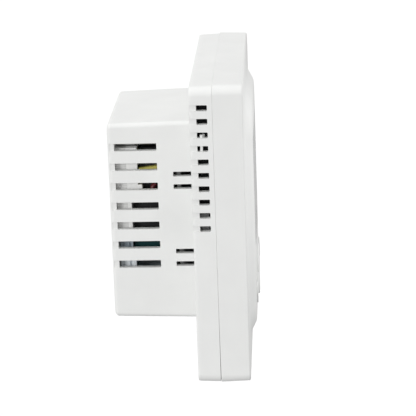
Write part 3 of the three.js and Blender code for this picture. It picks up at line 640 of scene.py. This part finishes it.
def terminal_windows():
    """The opening that bares the terminal screws, and the one below for the wires."""
    low = box_mm("terminal_block")[0]
    reach = TERMINALS * TERMINAL_PITCH / 2
    entry = reach - WIRE_ENTRY["inset"]
    front, rear = BOX_DEPTH - TERMINAL_WINDOW_DEPTH, BOX_DEPTH + CUT
    return [(-reach - GAP, reach + GAP, front, rear, low.z - GAP, TERMINAL_TOP + GAP),
            (-entry, entry, WIRE_ENTRY["front"], WIRE_ENTRY["rear"], -BOX_HALF_HEIGHT - CUT, low.z)]


def screw_holes(board_rear, post_z):
    """The wall screws' slots and the bores of the power board's screws."""
    post = BOARD_POST
    bore_rear = board_rear + post["bore_depth"]
    holes = []
    for side in (-1, 1):
        holes.append(slab("screw_slot", *SCREW_SLOT, -BACK_PANEL - 2 * CUT, CUT, side * SCREW_PITCH / 2, 0))
        holes.append(cylinder("post_bore", post["bore"], board_rear, bore_rear, side * post["x"], post_z, 24))
    return holes


def rear_housing():
    body = plate_and_box()
    boolean(body, slab("rim_cavity", RIM_INNER, RIM_INNER, INNER_CORNER, SEAM - CUT, -BACK_PANEL))
    cavity = [box_section(y, WALL, shrink=0.8) for y in (-BACK_PANEL - CUT, CAVITY_REAR)]
    boolean(body, loft("box_cavity", cavity))
    board_rear = box_mm("power_board")[1].y
    low, high = box_mm("power_board_screw_1")
    post_z = middle(low, high)[2]
    screw_mounts(body, board_rear, post_z)
    through, steps = side_openings()
    boolean(body, slot_cutters("side_openings", through))
    boolean(body, slot_cutters("side_steps", steps))
    boolean(body, boxes("terminal_windows", terminal_windows()))
    boolean(body, joined(screw_holes(board_rear, post_z)))
    for i, span in enumerate(inner_details()):
        boolean(body, boxes(f"detail_{i}", [span]), "UNION")
    tidy_faces(body)
    soften(body, EDGE_BREAK, 2)
    stand_in(body, "rear_housing")


# ---- front cover


def smoothstep(t):
    return t * t * (3 - 2 * t)


def panel_outline(half, corner):
    return [(x, z + PANEL_Z) for x, z in outline(half, half, corner, 12)]


def seam_opening(z):
    """How far the seam stands open at a height: widest at the bottom edge."""
    lowered = (SEAM_OPENING["top"] - z) / (SEAM_OPENING["top"] + PLATE_HALF)
    return SEAM_OPENING["width"] * max(0.0, lowered) ** 2


def cover_outside():
    """The raised, slightly crowned panel, its swept skirt, the flat border and the cover's sides."""
    crown_steps, flare_steps = 8, 14
    lap = 0.6  # how far the crown stays inside the skirt
    corner_growth = 3
    rings = []
    for i in range(1, crown_steps + 1):
        t = i / crown_steps
        points = panel_outline(PANEL_TOP_HALF * t - lap * t, max(PANEL_CORNER * t - lap, MIN_CORNER))
        rings.append((points, PANEL_FACE + PANEL_CROWN * t * t))
    edge = PANEL_FACE + PANEL_CROWN
    for i in range(flare_steps + 1):
        t = i / flare_steps
        half = PANEL_TOP_HALF + (PANEL_BASE_HALF - PANEL_TOP_HALF) * t
        fall = (BORDER_FACE - edge) * smoothstep(t)
        rings.append((panel_outline(half, PANEL_CORNER + corner_growth * t), edge + 0.04 + fall))
    for sine, cosine in arc(6):
        inset = COVER_DRAFT + EDGE_ROUND * (1 - sine)
        rings.append((square(PLATE_HALF, inset, 12), BORDER_FACE + 0.05 + EDGE_ROUND * (1 - cosine)))
    for sine, cosine in arc(3):
        inset = SEAM_ROUND * (1 - cosine)
        rings.append((square(PLATE_HALF, inset, 12), SEAM - SEAM_GAP / 2 - SEAM_ROUND * (1 - sine)))
    shell = loft("cover_shell", rings)
    bisect(shell, (SEAM_OPENING["top"], SEAM_OPENING["middle"]))
    for vertex in shell.data.vertices:
        if vertex.co.y > (SEAM - EDGE_ROUND) * MM:
            vertex.co.y -= seam_opening(vertex.co.z / MM) * MM
    return shell


def snap_arms(lip):
    """Slim arms that enter the rear housing beside the catches."""
    spans = []
    half = SNAP["width"] / 2
    inner = lip - SNAP["inset"]
    for side in (-1, 1):
        across = mirrored(inner, inner + SNAP["thickness"], side)
        for z in (SNAP["height"], -SNAP["height"]):
            spans.append((*across, BORDER_REAR - EMBED, SNAP["rear"], z - half, z + half))
    return spans


def hollow_cover(shell):
    """Cuts the inside of the border and of the raised panel."""
    inner = PLATE_HALF - WALL
    boolean(shell, slab("cavity", inner, inner, INNER_CORNER, BORDER_REAR, SEAM + CUT))
    inner, rear = PANEL_BASE_HALF - WALL, BORDER_REAR + CUT
    boolean(shell, slab("panel_cavity", inner, inner, PANEL_CORNER, PANEL_BACK, rear, 0, PANEL_Z))


def cover_lip(shell):
    """Adds the lip that enters the rear housing, with its snap arms."""
    lip = RIM_INNER - GAP
    root = PLATE_HALF - WALL + EMBED
    bore = lip - LIP_WIDTH
    ring = slab("lip", root, root, LIP_CORNER, COVER_REAR - 2, COVER_REAR - 0.1)
    boolean(ring, slab("lip_rear", lip, lip, LIP_CORNER, COVER_REAR - 1, LIP_REAR), "UNION")
    boolean(ring, slab("lip_bore", bore, bore, LIP_CORNER, COVER_REAR - 3, LIP_REAR + CUT))
    boolean(shell, ring, "UNION")
    for i, span in enumerate(snap_arms(lip)):
        boolean(shell, boxes(f"snap_{i}", [span]), "UNION")


def cover_posts(shell):
    """Adds the four bored posts that hold the display board."""
    post = COVER_POST
    board_front = box_mm("display_board")[0].y
    bores = []
    for x in (-post["at"], post["at"]):
        for z in (-post["at"], post["at"]):
            front, rear = BORDER_REAR - EMBED, board_front - GAP
            boolean(shell, cylinder("post", post["radius"], front, rear, x, z, 32), "UNION")
            bores.append(cylinder("bore", post["bore"], BORDER_REAR + post["floor"], board_front, x, z, 20))
    boolean(shell, joined(bores))


def panel_openings(shell):
    """Cuts the lens's seat, the window through it and the keys' holes."""
    low, high = box_mm("display_lens")
    width, height = (high.x - low.x) / 2, (high.z - low.z) / 2
    front, rear = PANEL_FACE - CUT, PANEL_BACK + CUT
    corner = WINDOW["seat_corner"]
    boolean(shell, slab("lens_seat", width + GAP, height + GAP, corner, front, high.y + GAP, 0, WINDOW_Z))
    inset, corner = WINDOW["inset"], WINDOW["corner"]
    holes = [slab("window", width - inset, height - inset, corner, front, rear, 0, WINDOW_Z)]
    for name, x in KEYS.items():
        holes.append(cylinder("key_hole", KEY_STYLE[name]["hole"], front, rear, x, KEY_ROW, 64))
    boolean(shell, joined(holes))


def front_cover():
    shell = cover_outside()
    hollow_cover(shell)
    cover_lip(shell)
    cover_posts(shell)
    panel_openings(shell)
    tidy_faces(shell, 0.1)
    soften(shell, EDGE_BREAK, 2, 40)
    stand_in(shell, "front_cover")


# ---- display


def display_lens():
    """A clear plate with a dark border printed on the edge of its rear face."""
    low, high = box_mm("display_lens")
    width, height = (high.x - low.x) / 2, (high.z - low.z) / 2
    edge, border, corner = LENS["edge"], LENS["border"], LENS["corner"]
    rings = []
    for sine, cosine in arc(3):
        inset = edge * (1 - sine)
        points = outline(width - inset, height - inset, corner - inset, 8)
        rings.append((points, low.y + LENS["sunk"] + edge * (1 - cosine)))
    rings.append((outline(width, height, corner, 8), high.y))
    rings.append((outline(width - border, height - border, LENS["print_corner"], 8), high.y))
    lens = soften(loft("lens_plate", rings, 0, WINDOW_Z), 0)
    stand_in(lens, "display_lens", ["lens", "lens_print"])
    tiny = 0.01
    across, up, rear = width - border - tiny, height - border - tiny, high.y - tiny
    repaint(lens, lambda p: p.y > rear and not (abs(p.x) < across and abs(p.z - WINDOW_Z) < up))


SEGMENTS = {  # a seven-segment digit: each bar as the two ends of its centre line, in digit widths
    "top": ((0, 2), (1, 2)), "middle": ((0, 1), (1, 1)), "bottom": ((0, 0), (1, 0)),
    "upper_left": ((0, 1), (0, 2)), "lower_left": ((0, 0), (0, 1)),
    "upper_right": ((1, 1), (1, 2)), "lower_right": ((1, 0), (1, 1)),
}


def prism(bm, points, y):
    """A printed sign: a polygon in the XZ plane, a hair thick toward the rear from a depth."""
    skin(bm, [[bm.verts.new(Vector((px, depth, pz)) * MM) for px, pz in points] for depth in (y, y + INK)])


def segment_bar(bm, start, end, y, thick):
    """A bar with pointed ends between two points of the XZ plane."""
    start, end = Vector(start), Vector(end)
    along = (end - start).normalized()
    across = Vector((-along.y, along.x)) * thick / 2
    gap = 0.18
    first, last = start + along * gap, end - along * gap
    tip = along * thick / 2
    first_tip, last_tip = first + tip, last - tip
    points = [first, first_tip - across, last_tip - across, last, last_tip + across, first_tip + across]
    prism(bm, points, y)


DIGITS = (  # each digit's left edge, foot, width and the thickness of its bars
    (-16, 3.5, 6.5, 1.5), (-6, 3.5, 6.5, 1.5), (5.5, 3.5, 4.2, 1.0),
)
STATUS_BARS = {"count": 4, "left": -15, "pitch": 8.5, "length": 6, "z": -1.5, "thick": 1.1}


def lcd_segments():
    """The unlit figures of the display, a shade darker than the glass they are printed on."""
    y = box_mm("lcd_panel")[0].y - 0.01 - INK
    bm = bmesh.new()
    for left, bottom, wide, thick in DIGITS:
        for start, end in SEGMENTS.values():
            ends = [(left + p[0] * wide, bottom + p[1] * wide * 0.95) for p in (start, end)]
            segment_bar(bm, *ends, y, thick)
    bars = STATUS_BARS
    for i in range(bars["count"]):
        x = bars["left"] + i * bars["pitch"]
        segment_bar(bm, (x, bars["z"]), (x + bars["length"], bars["z"]), y, bars["thick"])
    bmesh.ops.recalc_face_normals(bm, faces=bm.faces)
    dress(new_object("lcd_figures", bm), "lcd_ink", "cover")


def display_stack():
    display_lens()
    rounded_copies({"lcd_panel": 0.15, "backlight_guide": 0.2, "lcd_frame": 0.3, "lcd_connector": 0.2})
    lcd_segments()


# ---- boards


CHIP_LEADS = {"count": 11, "reach": 1.3, "half": 0.16, "thickness": 0.18, "root": 0.2}
CHIP_ROWS = (  # first X, pitch, Z, stagger, count, and one in how many stands upright
    (-24, 4, 22, 3, 13, 3), (-20, 5, -14, -2.5, 9, 2),
)
CHIP = {"half_length": 0.6, "half_width": 0.3, "height": 0.55}
CHIP_END = {"away": 0.85, "half": 0.3, "height": 0.6}
PIN_HALF = 0.32
SOLDERED = {  # where leads come through the power board, as X and Z
    "terminals": [(x + side, -20.5) for x in centred(TERMINALS, TERMINAL_PITCH) for side in (-1.2, 1.2)],
    "relay": [(x, z) for x in (-17, -11) for z in (1, 9, 17)],
    "transformer": [(3 + 3.6 * i, z) for i in range(4) for z in (5.4, 17.8)],
    "socket": [(x, -2.4) for x in centred(PINS, PIN_PITCH)],
    "others": [(-8, -10.5), (3, -10.5), (13.5, 0), (17.3, 0), (-17, -11)],
}
JOINT = {"radius": 0.85, "height": 0.75}


def gull_leads(low, high, y):
    """Leads along all four sides of a flat chip, as boxes."""
    spans = []
    middle_x, _, middle_z = middle(low, high)
    count, reach, half, root = (CHIP_LEADS[key] for key in ("count", "reach", "half", "root"))
    rear = y + CHIP_LEADS["thickness"]
    pitch = (high.x - low.x - 2) / (count - 1)
    for offset in centred(count, pitch):
        x, z = middle_x + offset, middle_z + offset
        for side, end in ((-1, low), (1, high)):
            x0, x1 = sorted((end.x - side * root, end.x + side * reach))
            z0, z1 = sorted((end.z - side * root, end.z + side * reach))
            spans.append((x0, x1, y, rear, z - half, z + half))
            spans.append((x - half, x + half, y, rear, z0, z1))
    return spans


def chip_parts(y):
    """Small two-ended chip components on a board's face: dark middles and tinned ends."""
    middles, ends = [], []
    end, away = CHIP_END["half"], CHIP_END["away"]
    for first, pitch, row, stagger, count, every in CHIP_ROWS:
        for i in range(count):
            x, z = first + pitch * i, row + stagger * (i % 2)
            upright = i % every == 0
            half_x, half_z = CHIP["half_length"], CHIP["half_width"]
            if upright:
                half_x, half_z = half_z, half_x
            middles.append((x - half_x, x + half_x, y, y + CHIP["height"], z - half_z, z + half_z))
            for side in (-away, away):
                cx, cz = (x, z + side) if upright else (x + side, z)
                ends.append((cx - end, cx + end, y, y + CHIP_END["height"], cz - end, cz + end))
    return middles, ends


def display_board():
    rounded_copies({"display_board": 0.15, "controller_chip": 0.25})
    face = box_mm("display_board")[1].y + 0.02
    leads = boxes("controller_leads", gull_leads(*box_mm("controller_chip"), face))
    dress(soften(leads, 0.05, 1), "solder", "cover")
    middles, ends = chip_parts(face)
    dress(soften(boxes("chip_resistors", middles), 0.08, 2), "black_plastic", "cover")
    dress(soften(boxes("chip_resistor_ends", ends), 0.06, 2), "solder", "cover")
    rounded_copies({"room_sensor": 0})
    rounded_copies({f"display_board_screw_{i}": 0.12 for i in range(1, 5)})
    pins_and_strip()


def pins_and_strip():
    """The pin header: a black strip and the pins that reach the socket."""
    low, high = box_mm("pin_header")
    strip_rear = low.y + 2.5
    strip = boxes("header_strip", [(low.x, high.x, low.y, strip_rear, low.z, high.z)])
    dress(soften(strip, 0.3, 3), "black_plastic", "cover")
    z = middle(low, high)[2]
    pins = []
    for x in centred(PINS, PIN_PITCH):
        pins.append((x - PIN_HALF, x + PIN_HALF, strip_rear, high.y, z - PIN_HALF, z + PIN_HALF))
    stand_in(soften(boxes("header_pins", pins), 0.12, 2), "pin_header")


def domes(name, places, y):
    """Small solder joints on a board's face."""
    bm = bmesh.new()
    size = Matrix.Diagonal((JOINT["radius"] * MM, JOINT["height"] * MM, JOINT["radius"] * MM, 1))
    for x, z in places:
        place = Matrix.Translation(Vector((x, y, z)) * MM)
        bmesh.ops.create_icosphere(bm, subdivisions=2, radius=1, matrix=place @ size)
    for face in bm.faces:
        face.smooth = True
    return new_object(name, bm)


def vent_baffle(node):
    """A black strip, a sheet of painted shade behind the vents; the outside of its thicker foot is painted
    grey, a paler painted shade.
    """
    thing = soften(bare_copy(node), 0.12)
    stand_in(thing, node, ["black_plastic", "grey_plastic"])
    low, high = box_mm(node)
    outside = max(-low.x, high.x) - 0.05
    # the foot's outside painted grey: a paler painted shade
    repaint(thing, lambda place: abs(place.x) > outside)


def power_board():
    rounded_copies({"power_board": 0.15, "board_socket": 0.25})
    for side in ("left", "right"):
        vent_baffle(f"vent_baffle_{side}")
    rounded_copies({f"power_board_screw_{i}": 0.15 for i in (1, 2)})
    joints = [place for places in SOLDERED.values() for place in places]
    dots = domes("solder_joints", joints, box_mm("power_board")[0].y)
    dress(dots, "solder", "housing")


# ---- power components


def tube(name, points, radius):
    """A round wire on a smooth curve through a few points."""
    curve = bpy.data.curves.new(name, "CURVE")
    curve.dimensions = "3D"
    curve.bevel_depth = radius * MM
    curve.bevel_resolution = 5
    curve.resolution_u = 10
    curve.use_fill_caps = True
    spline = curve.splines.new("BEZIER")
    spline.bezier_points.add(len(points) - 1)
    for knot, point in zip(spline.bezier_points, points):
        knot.co = Vector(point) * MM
        knot.handle_left_type = knot.handle_right_type = "AUTO"
    holder = linked(name, curve)
    graph = bpy.context.evaluated_depsgraph_get()
    data = bpy.data.meshes.new_from_object(holder.evaluated_get(graph))
    bpy.data.objects.remove(holder)
    thing = linked(name, data)
    for face in thing.data.polygons:
        face.use_smooth = True
    return thing


def relay_cover():
    """The relay's cover, drawn back until it all but touches the rear wall."""
    thing = bare_copy("relay_cover")
    rear = CAVITY_REAR - 0.04
    for vertex in thing.data.vertices:
        if vertex.co.y > (rear - 0.5) * MM:
            vertex.co.y = rear * MM
    stand_in(soften(thing, 0.15, 3), "relay_cover")


CAN_FOOT = ((0.3, 0), (0, 0.3), (0, 1.2), (0.25, 1.5), (0.25, 1.8), (0, 2.1))  # inset, rise
CAN_TOP = ((0, 0.6), (0.15, 0.2), (0.6, 0.05), (0.9, 0.3))  # inset, drop
SCORE = {"half_length": 2, "half_width": 0.12, "depth": 0.2}
FUSE = {"tube_end": 2, "tube_inset": 0.25, "cap": 3, "edge": 0.2, "segments": 40}
WIRE_RADIUS = 0.7
WIRE_RISE = 1.1
RED_WIRE = ((-19.8, 0, 5.6), (-20.3, 1.6, 7.4), (-20.4, 2.2, 9.2), (-20, 1.4, 10.3))
BLACK_WIRE = ((19, 0, 6), (19.6, 2, 10), (19.5, 2.2, 14), (18.9, 1, 19))


def bulk_capacitor():
    """A sleeved can with a crimped foot, and its bare top scored with a cross."""
    low, high = box_mm("bulk_capacitor")
    x, _, z = middle(low, high)
    radius = (high.x - low.x) / 2
    profile = [(0, low.y)]
    profile += [(radius - inset, low.y + rise) for inset, rise in CAN_FOOT]
    profile += [(radius - inset, high.y - drop) for inset, drop in CAN_TOP]
    profile += [(0, profile[-1][1])]
    stand_in(soften(turned("capacitor_can", profile, x, z), 0), "bulk_capacitor")
    top = cylinder("capacitor_top", radius - 0.95, high.y - 0.4, high.y - 0.12, x, z)
    long, short, front = SCORE["half_length"], SCORE["half_width"], high.y - SCORE["depth"]
    for across, up in ((long, short), (short, long)):
        boolean(top, boxes("score", [(x - across, x + across, front, high.y + CUT, z - up, z + up)]))
    dress(soften(top, 0.05, 2), "aluminium", "housing")


def fuse():
    """A glass tube with two metal caps. Each is made about the Y axis, then laid along X."""
    low, high = box_mm("fuse")
    _, y, z = middle(low, high)
    radius = (high.z - low.z) / 2
    edge, segments = FUSE["edge"], FUSE["segments"]
    turn = Matrix.Translation(Vector((0, y, z)) * MM) @ Matrix.Rotation(math.pi / 2, 4, "Z")
    shift = Matrix.Translation(Vector((low.x + high.x, 0, 0)) * MM)
    start, end = low.x + FUSE["tube_end"], high.x - FUSE["tube_end"]
    tube_radius = radius - FUSE["tube_inset"]
    parts = [cylinder("fuse_tube", tube_radius, start, end, 0, 0, segments)]
    for start, end in ((low.x, low.x + FUSE["cap"]), (high.x - FUSE["cap"], high.x)):
        profile = [(0, start), (radius - edge, start), (radius, start + edge), (radius, end - edge)]
        profile += [(radius - edge, end), (0, end)]
        parts.append(turned("fuse_caps", profile, 0, 0, segments))
    for thing in parts:
        thing.data.transform(turn)
        thing.data.transform(shift)
    stand_in(soften(parts[0], 0), "fuse")
    dress(soften(joined(parts[1:]), 0), "solder", "housing")


def wires():
    """Two insulated leads that arch over the rear of the power board."""
    board = box_mm("power_board")[1].y + WIRE_RISE
    for colour, points in (("red", RED_WIRE), ("black", BLACK_WIRE)):
        raised = [(x, board + y, z) for x, y, z in points]
        stand_in(tube(f"{colour}_wire", raised, WIRE_RADIUS), f"{colour}_lead")


def power_components():
    relay_cover()
    rounded_copies({"relay_base": 0.3, "transformer_core": 0.35, "transformer_winding": 0.3})
    rounded_copies({"film_capacitor": 0.5, "dipped_capacitor": 0.7}, 4)
    bulk_capacitor()
    fuse()
    wires()


# ---- terminals


def terminal_body():
    """The terminal block: fine ribs on each end of its upper ledge, paler ends on the lower."""
    thing = bare_copy("terminal_block")
    reach = box_mm("terminal_block")[1].x
    half = RIBS["width"] / 2
    grooves = []
    for side in (-1, 1):
        across = mirrored(reach - RIBS["depth"], reach + CUT, side)
        for i in range(RIBS["count"]):
            y = RIBS["rear"] - RIBS["pitch"] * i
            grooves.append((*across, y - half, y + half, LEDGE["step"], LEDGE["top"] + CUT))
    boolean(thing, boxes("rib_grooves", grooves))
    bisect(thing, (TERMINAL_TOP, LEDGE["step"]))
    soften(thing, 0.08, 2)
    stand_in(thing, "terminal_block", ["terminal_grey", "terminal_pale"])
    repaint(thing, lambda place: abs(place.x) > reach - 1 and TERMINAL_TOP < place.z < LEDGE["step"])


def terminals():
    terminal_body()
    for i in range(1, TERMINALS + 1):
        rounded_copies({f"terminal_contact_{i}": 0.12, f"terminal_screw_{i}": 0.12})


# ---- keys


def key_cap(name, x):
    """A round key: a dish inside a raised ring, and a flange and stem behind the panel."""
    low, high = box_mm(f"{name}_key")
    style = KEY_STYLE[name]
    flange = KEY_FLANGE["width"]
    radius = (high.x - low.x) / 2 - flange
    inner = radius - style["ring"]
    edge = min(KEY_EDGE, (PANEL_FACE - low.y) * 0.8)
    front = PANEL_BACK + GAP
    rear = front + KEY_FLANGE["thickness"]
    profile = [(0, low.y + style["dish"][0][1])]
    profile += [(inner - inset, low.y + depth) for inset, depth in style["dish"]]
    profile += [(inner, low.y)]
    profile += [(radius - edge * (1 - sine), low.y + edge * (1 - cosine)) for sine, cosine in arc(5)]
    profile += [(radius, front), (radius + flange, front), (radius + flange, rear)]
    profile += [(KEY_STEM, rear), (KEY_STEM, high.y), (0, high.y)]
    cap = turned(f"{name}_cap", profile, x, KEY_ROW, style["segments"])
    stand_in(soften(cap, 0), f"{name}_key")


def arc_band(bm, x, z, y, radius, width, start, end, steps=24):
    """A flat band along an arc, in degrees, standing a hair proud of the face it is printed on."""
    near, far = radius - width / 2, radius + width / 2
    corners = ((near, y), (far, y), (far, y + INK), (near, y + INK))
    rows = []
    for i in range(steps + 1):
        angle = math.radians(start + (end - start) * i / steps)
        places = [(x + r * math.cos(angle), depth, z + r * math.sin(angle)) for r, depth in corners]
        rows.append([bm.verts.new(Vector(place) * MM) for place in places])
    closed = end - start >= 360
    skin(bm, rows, not closed)
    if closed:
        bmesh.ops.remove_doubles(bm, verts=bm.verts, dist=1e-7)


def bar(x0, x1, z0, z1):
    return [(x0, z0), (x1, z0), (x1, z1), (x0, z1)]


MARK_ARCS = {"power": (1.9, 0.36, 120, 420), "clock": (1.05, 0.26, 0, 360)}  # radius, width, start, end
MARK_SHAPES = {
    "menu": [bar(-1, 1, z - 0.14, z + 0.14) for z in (-0.8, 0, 0.8)],
    "down": [[(0, -0.9), (1.1, 0.6), (-1.1, 0.6)]],
    "power": [bar(-0.18, 0.18, 0.4, 2.4)],
    "up": [[(-1.1, -0.6), (1.1, -0.6), (0, 0.9)]],
    "clock": [bar(-0.12, 0.12, -0.12, 0.7), bar(0.13, 0.6, -0.12, 0.12)],
}


def key_marks():
    """Plain printed signs: three bars, two arrows, a broken ring and a clock face."""
    for name, x in KEYS.items():
        y = box_mm(f"{name}_key")[0].y + 0.13
        bm = bmesh.new()
        if name in MARK_ARCS:
            arc_band(bm, x, KEY_ROW, y, *MARK_ARCS[name])
        for points in MARK_SHAPES[name]:
            prism(bm, [(x + px, KEY_ROW + pz) for px, pz in points], y)
        bmesh.ops.recalc_face_normals(bm, faces=bm.faces)
        dress(new_object(f"{name}_mark", bm), "key_ink", f"{name}_button")


def keys():
    for name, x in KEYS.items():
        key_cap(name, x)
        rounded_copies({f"{name}_switch_body": 0.2, f"{name}_switch_plunger": 0.15})
    key_marks()


# ---- stage, light and camera


FLOOR = {"size": 60, "z": -0.6}  # in metres
SKY = {"low": 0.46, "high": 0.83, "reach": 0.5}


def stage():
    """A pale studio floor, far enough below the object that no shadow of it comes into view."""
    bpy.ops.mesh.primitive_plane_add(size=FLOOR["size"], location=(0, 0, FLOOR["z"]))
    floor = bpy.context.object
    floor.name = "floor"
    finish = Finish("floor_paper", 0.9)
    finish.colour(finish.noise(400), (0.98, 0.98, 0.98), (0.985, 0.985, 0.985))
    floor.data.materials.append(finish.material)
    floor.visible_diffuse = False
    floor.visible_glossy = False


def sun(name, azimuth, elevation, strength, softness):
    """A soft distant light from a compass angle (0 is the front, 90 is +X) and a height."""
    light = bpy.data.lights.new(name, "SUN")
    light.energy = strength
    light.angle = math.radians(softness)
    lamp = linked(name, light)
    across, rise = math.radians(azimuth), math.radians(elevation)
    source = Vector((math.sin(across) * math.cos(rise), -math.cos(across) * math.cos(rise), math.sin(rise)))
    lamp.rotation_euler = source.to_track_quat("Z", "Y").to_euler()


def panel_light(name, place, side, power):
    """A square light panel that shines along +Y and stays out of sight."""
    light = bpy.data.lights.new(name, "AREA")
    light.energy = power
    light.size = side
    lamp = linked(name, light)
    lamp.location = place
    lamp.rotation_euler = (math.pi / 2, 0, 0)
    lamp.visible_camera = False


def lights():
    """A sky brighter above than below, two soft suns and a small panel."""
    world = bpy.data.worlds.new("studio")
    world.use_nodes = True
    nodes, links = world.node_tree.nodes, world.node_tree.links
    height = nodes.new("ShaderNodeSeparateXYZ")
    links.new(nodes.new("ShaderNodeTexCoord").outputs["Generated"], height.inputs[0])
    fade = nodes.new("ShaderNodeMapRange")
    fade.inputs["From Min"].default_value = -SKY["reach"]
    fade.inputs["From Max"].default_value = SKY["reach"]
    fade.inputs["To Min"].default_value = SKY["low"]
    fade.inputs["To Max"].default_value = SKY["high"]
    links.new(height.outputs["Z"], fade.inputs["Value"])
    links.new(fade.outputs[0], nodes["Background"].inputs["Strength"])
    nodes["Background"].inputs["Color"].default_value = (1, 1, 1, 1)
    bpy.context.scene.world = world
    sun("side_light", azimuth=232, elevation=11, strength=1.23, softness=20)
    sun("top_light", azimuth=250, elevation=88, strength=0.56, softness=30)
    panel_light("front_light", place=(-0.03, -0.08, 0.022), side=0.05, power=0.0195)


CAMERA = {  # the pinhole camera at the picture's viewing angle
    "azimuth": 272.432, "elevation": 15.162, "roll": -1.953,
    "distance": 0.57568, "right": -0.002625, "up": 0.00271, "lens": 166.81, "sensor": 36,
}


def camera():
    azimuth, elevation, roll = (math.radians(CAMERA[k]) for k in ("azimuth", "elevation", "roll"))
    look = Vector((-math.sin(azimuth) * math.cos(elevation), math.cos(azimuth) * math.cos(elevation),
                   -math.sin(elevation)))
    level = look.cross(Vector((0, 0, 1))).normalized()
    upright = level.cross(look)
    right = level * math.cos(roll) + upright * math.sin(roll)
    up = upright * math.cos(roll) - level * math.sin(roll)
    place = -look * CAMERA["distance"] - right * CAMERA["right"] - up * CAMERA["up"]
    data = bpy.data.cameras.new("camera")
    data.sensor_width = CAMERA["sensor"]
    data.lens = CAMERA["lens"]
    data.clip_start = 0.01
    data.clip_end = 20
    eye = linked("camera", data)
    turn = Matrix((right, up, -look)).transposed().to_4x4()
    eye.matrix_world = Matrix.Translation(place) @ turn
    bpy.context.scene.camera = eye


# ---- the whole scene

camera()
rear_housing()
front_cover()
display_stack()
display_board()
power_board()
power_components()
terminals()
keys()
stage()
lights()
bpy.context.scene.view_settings.view_transform = "Standard"
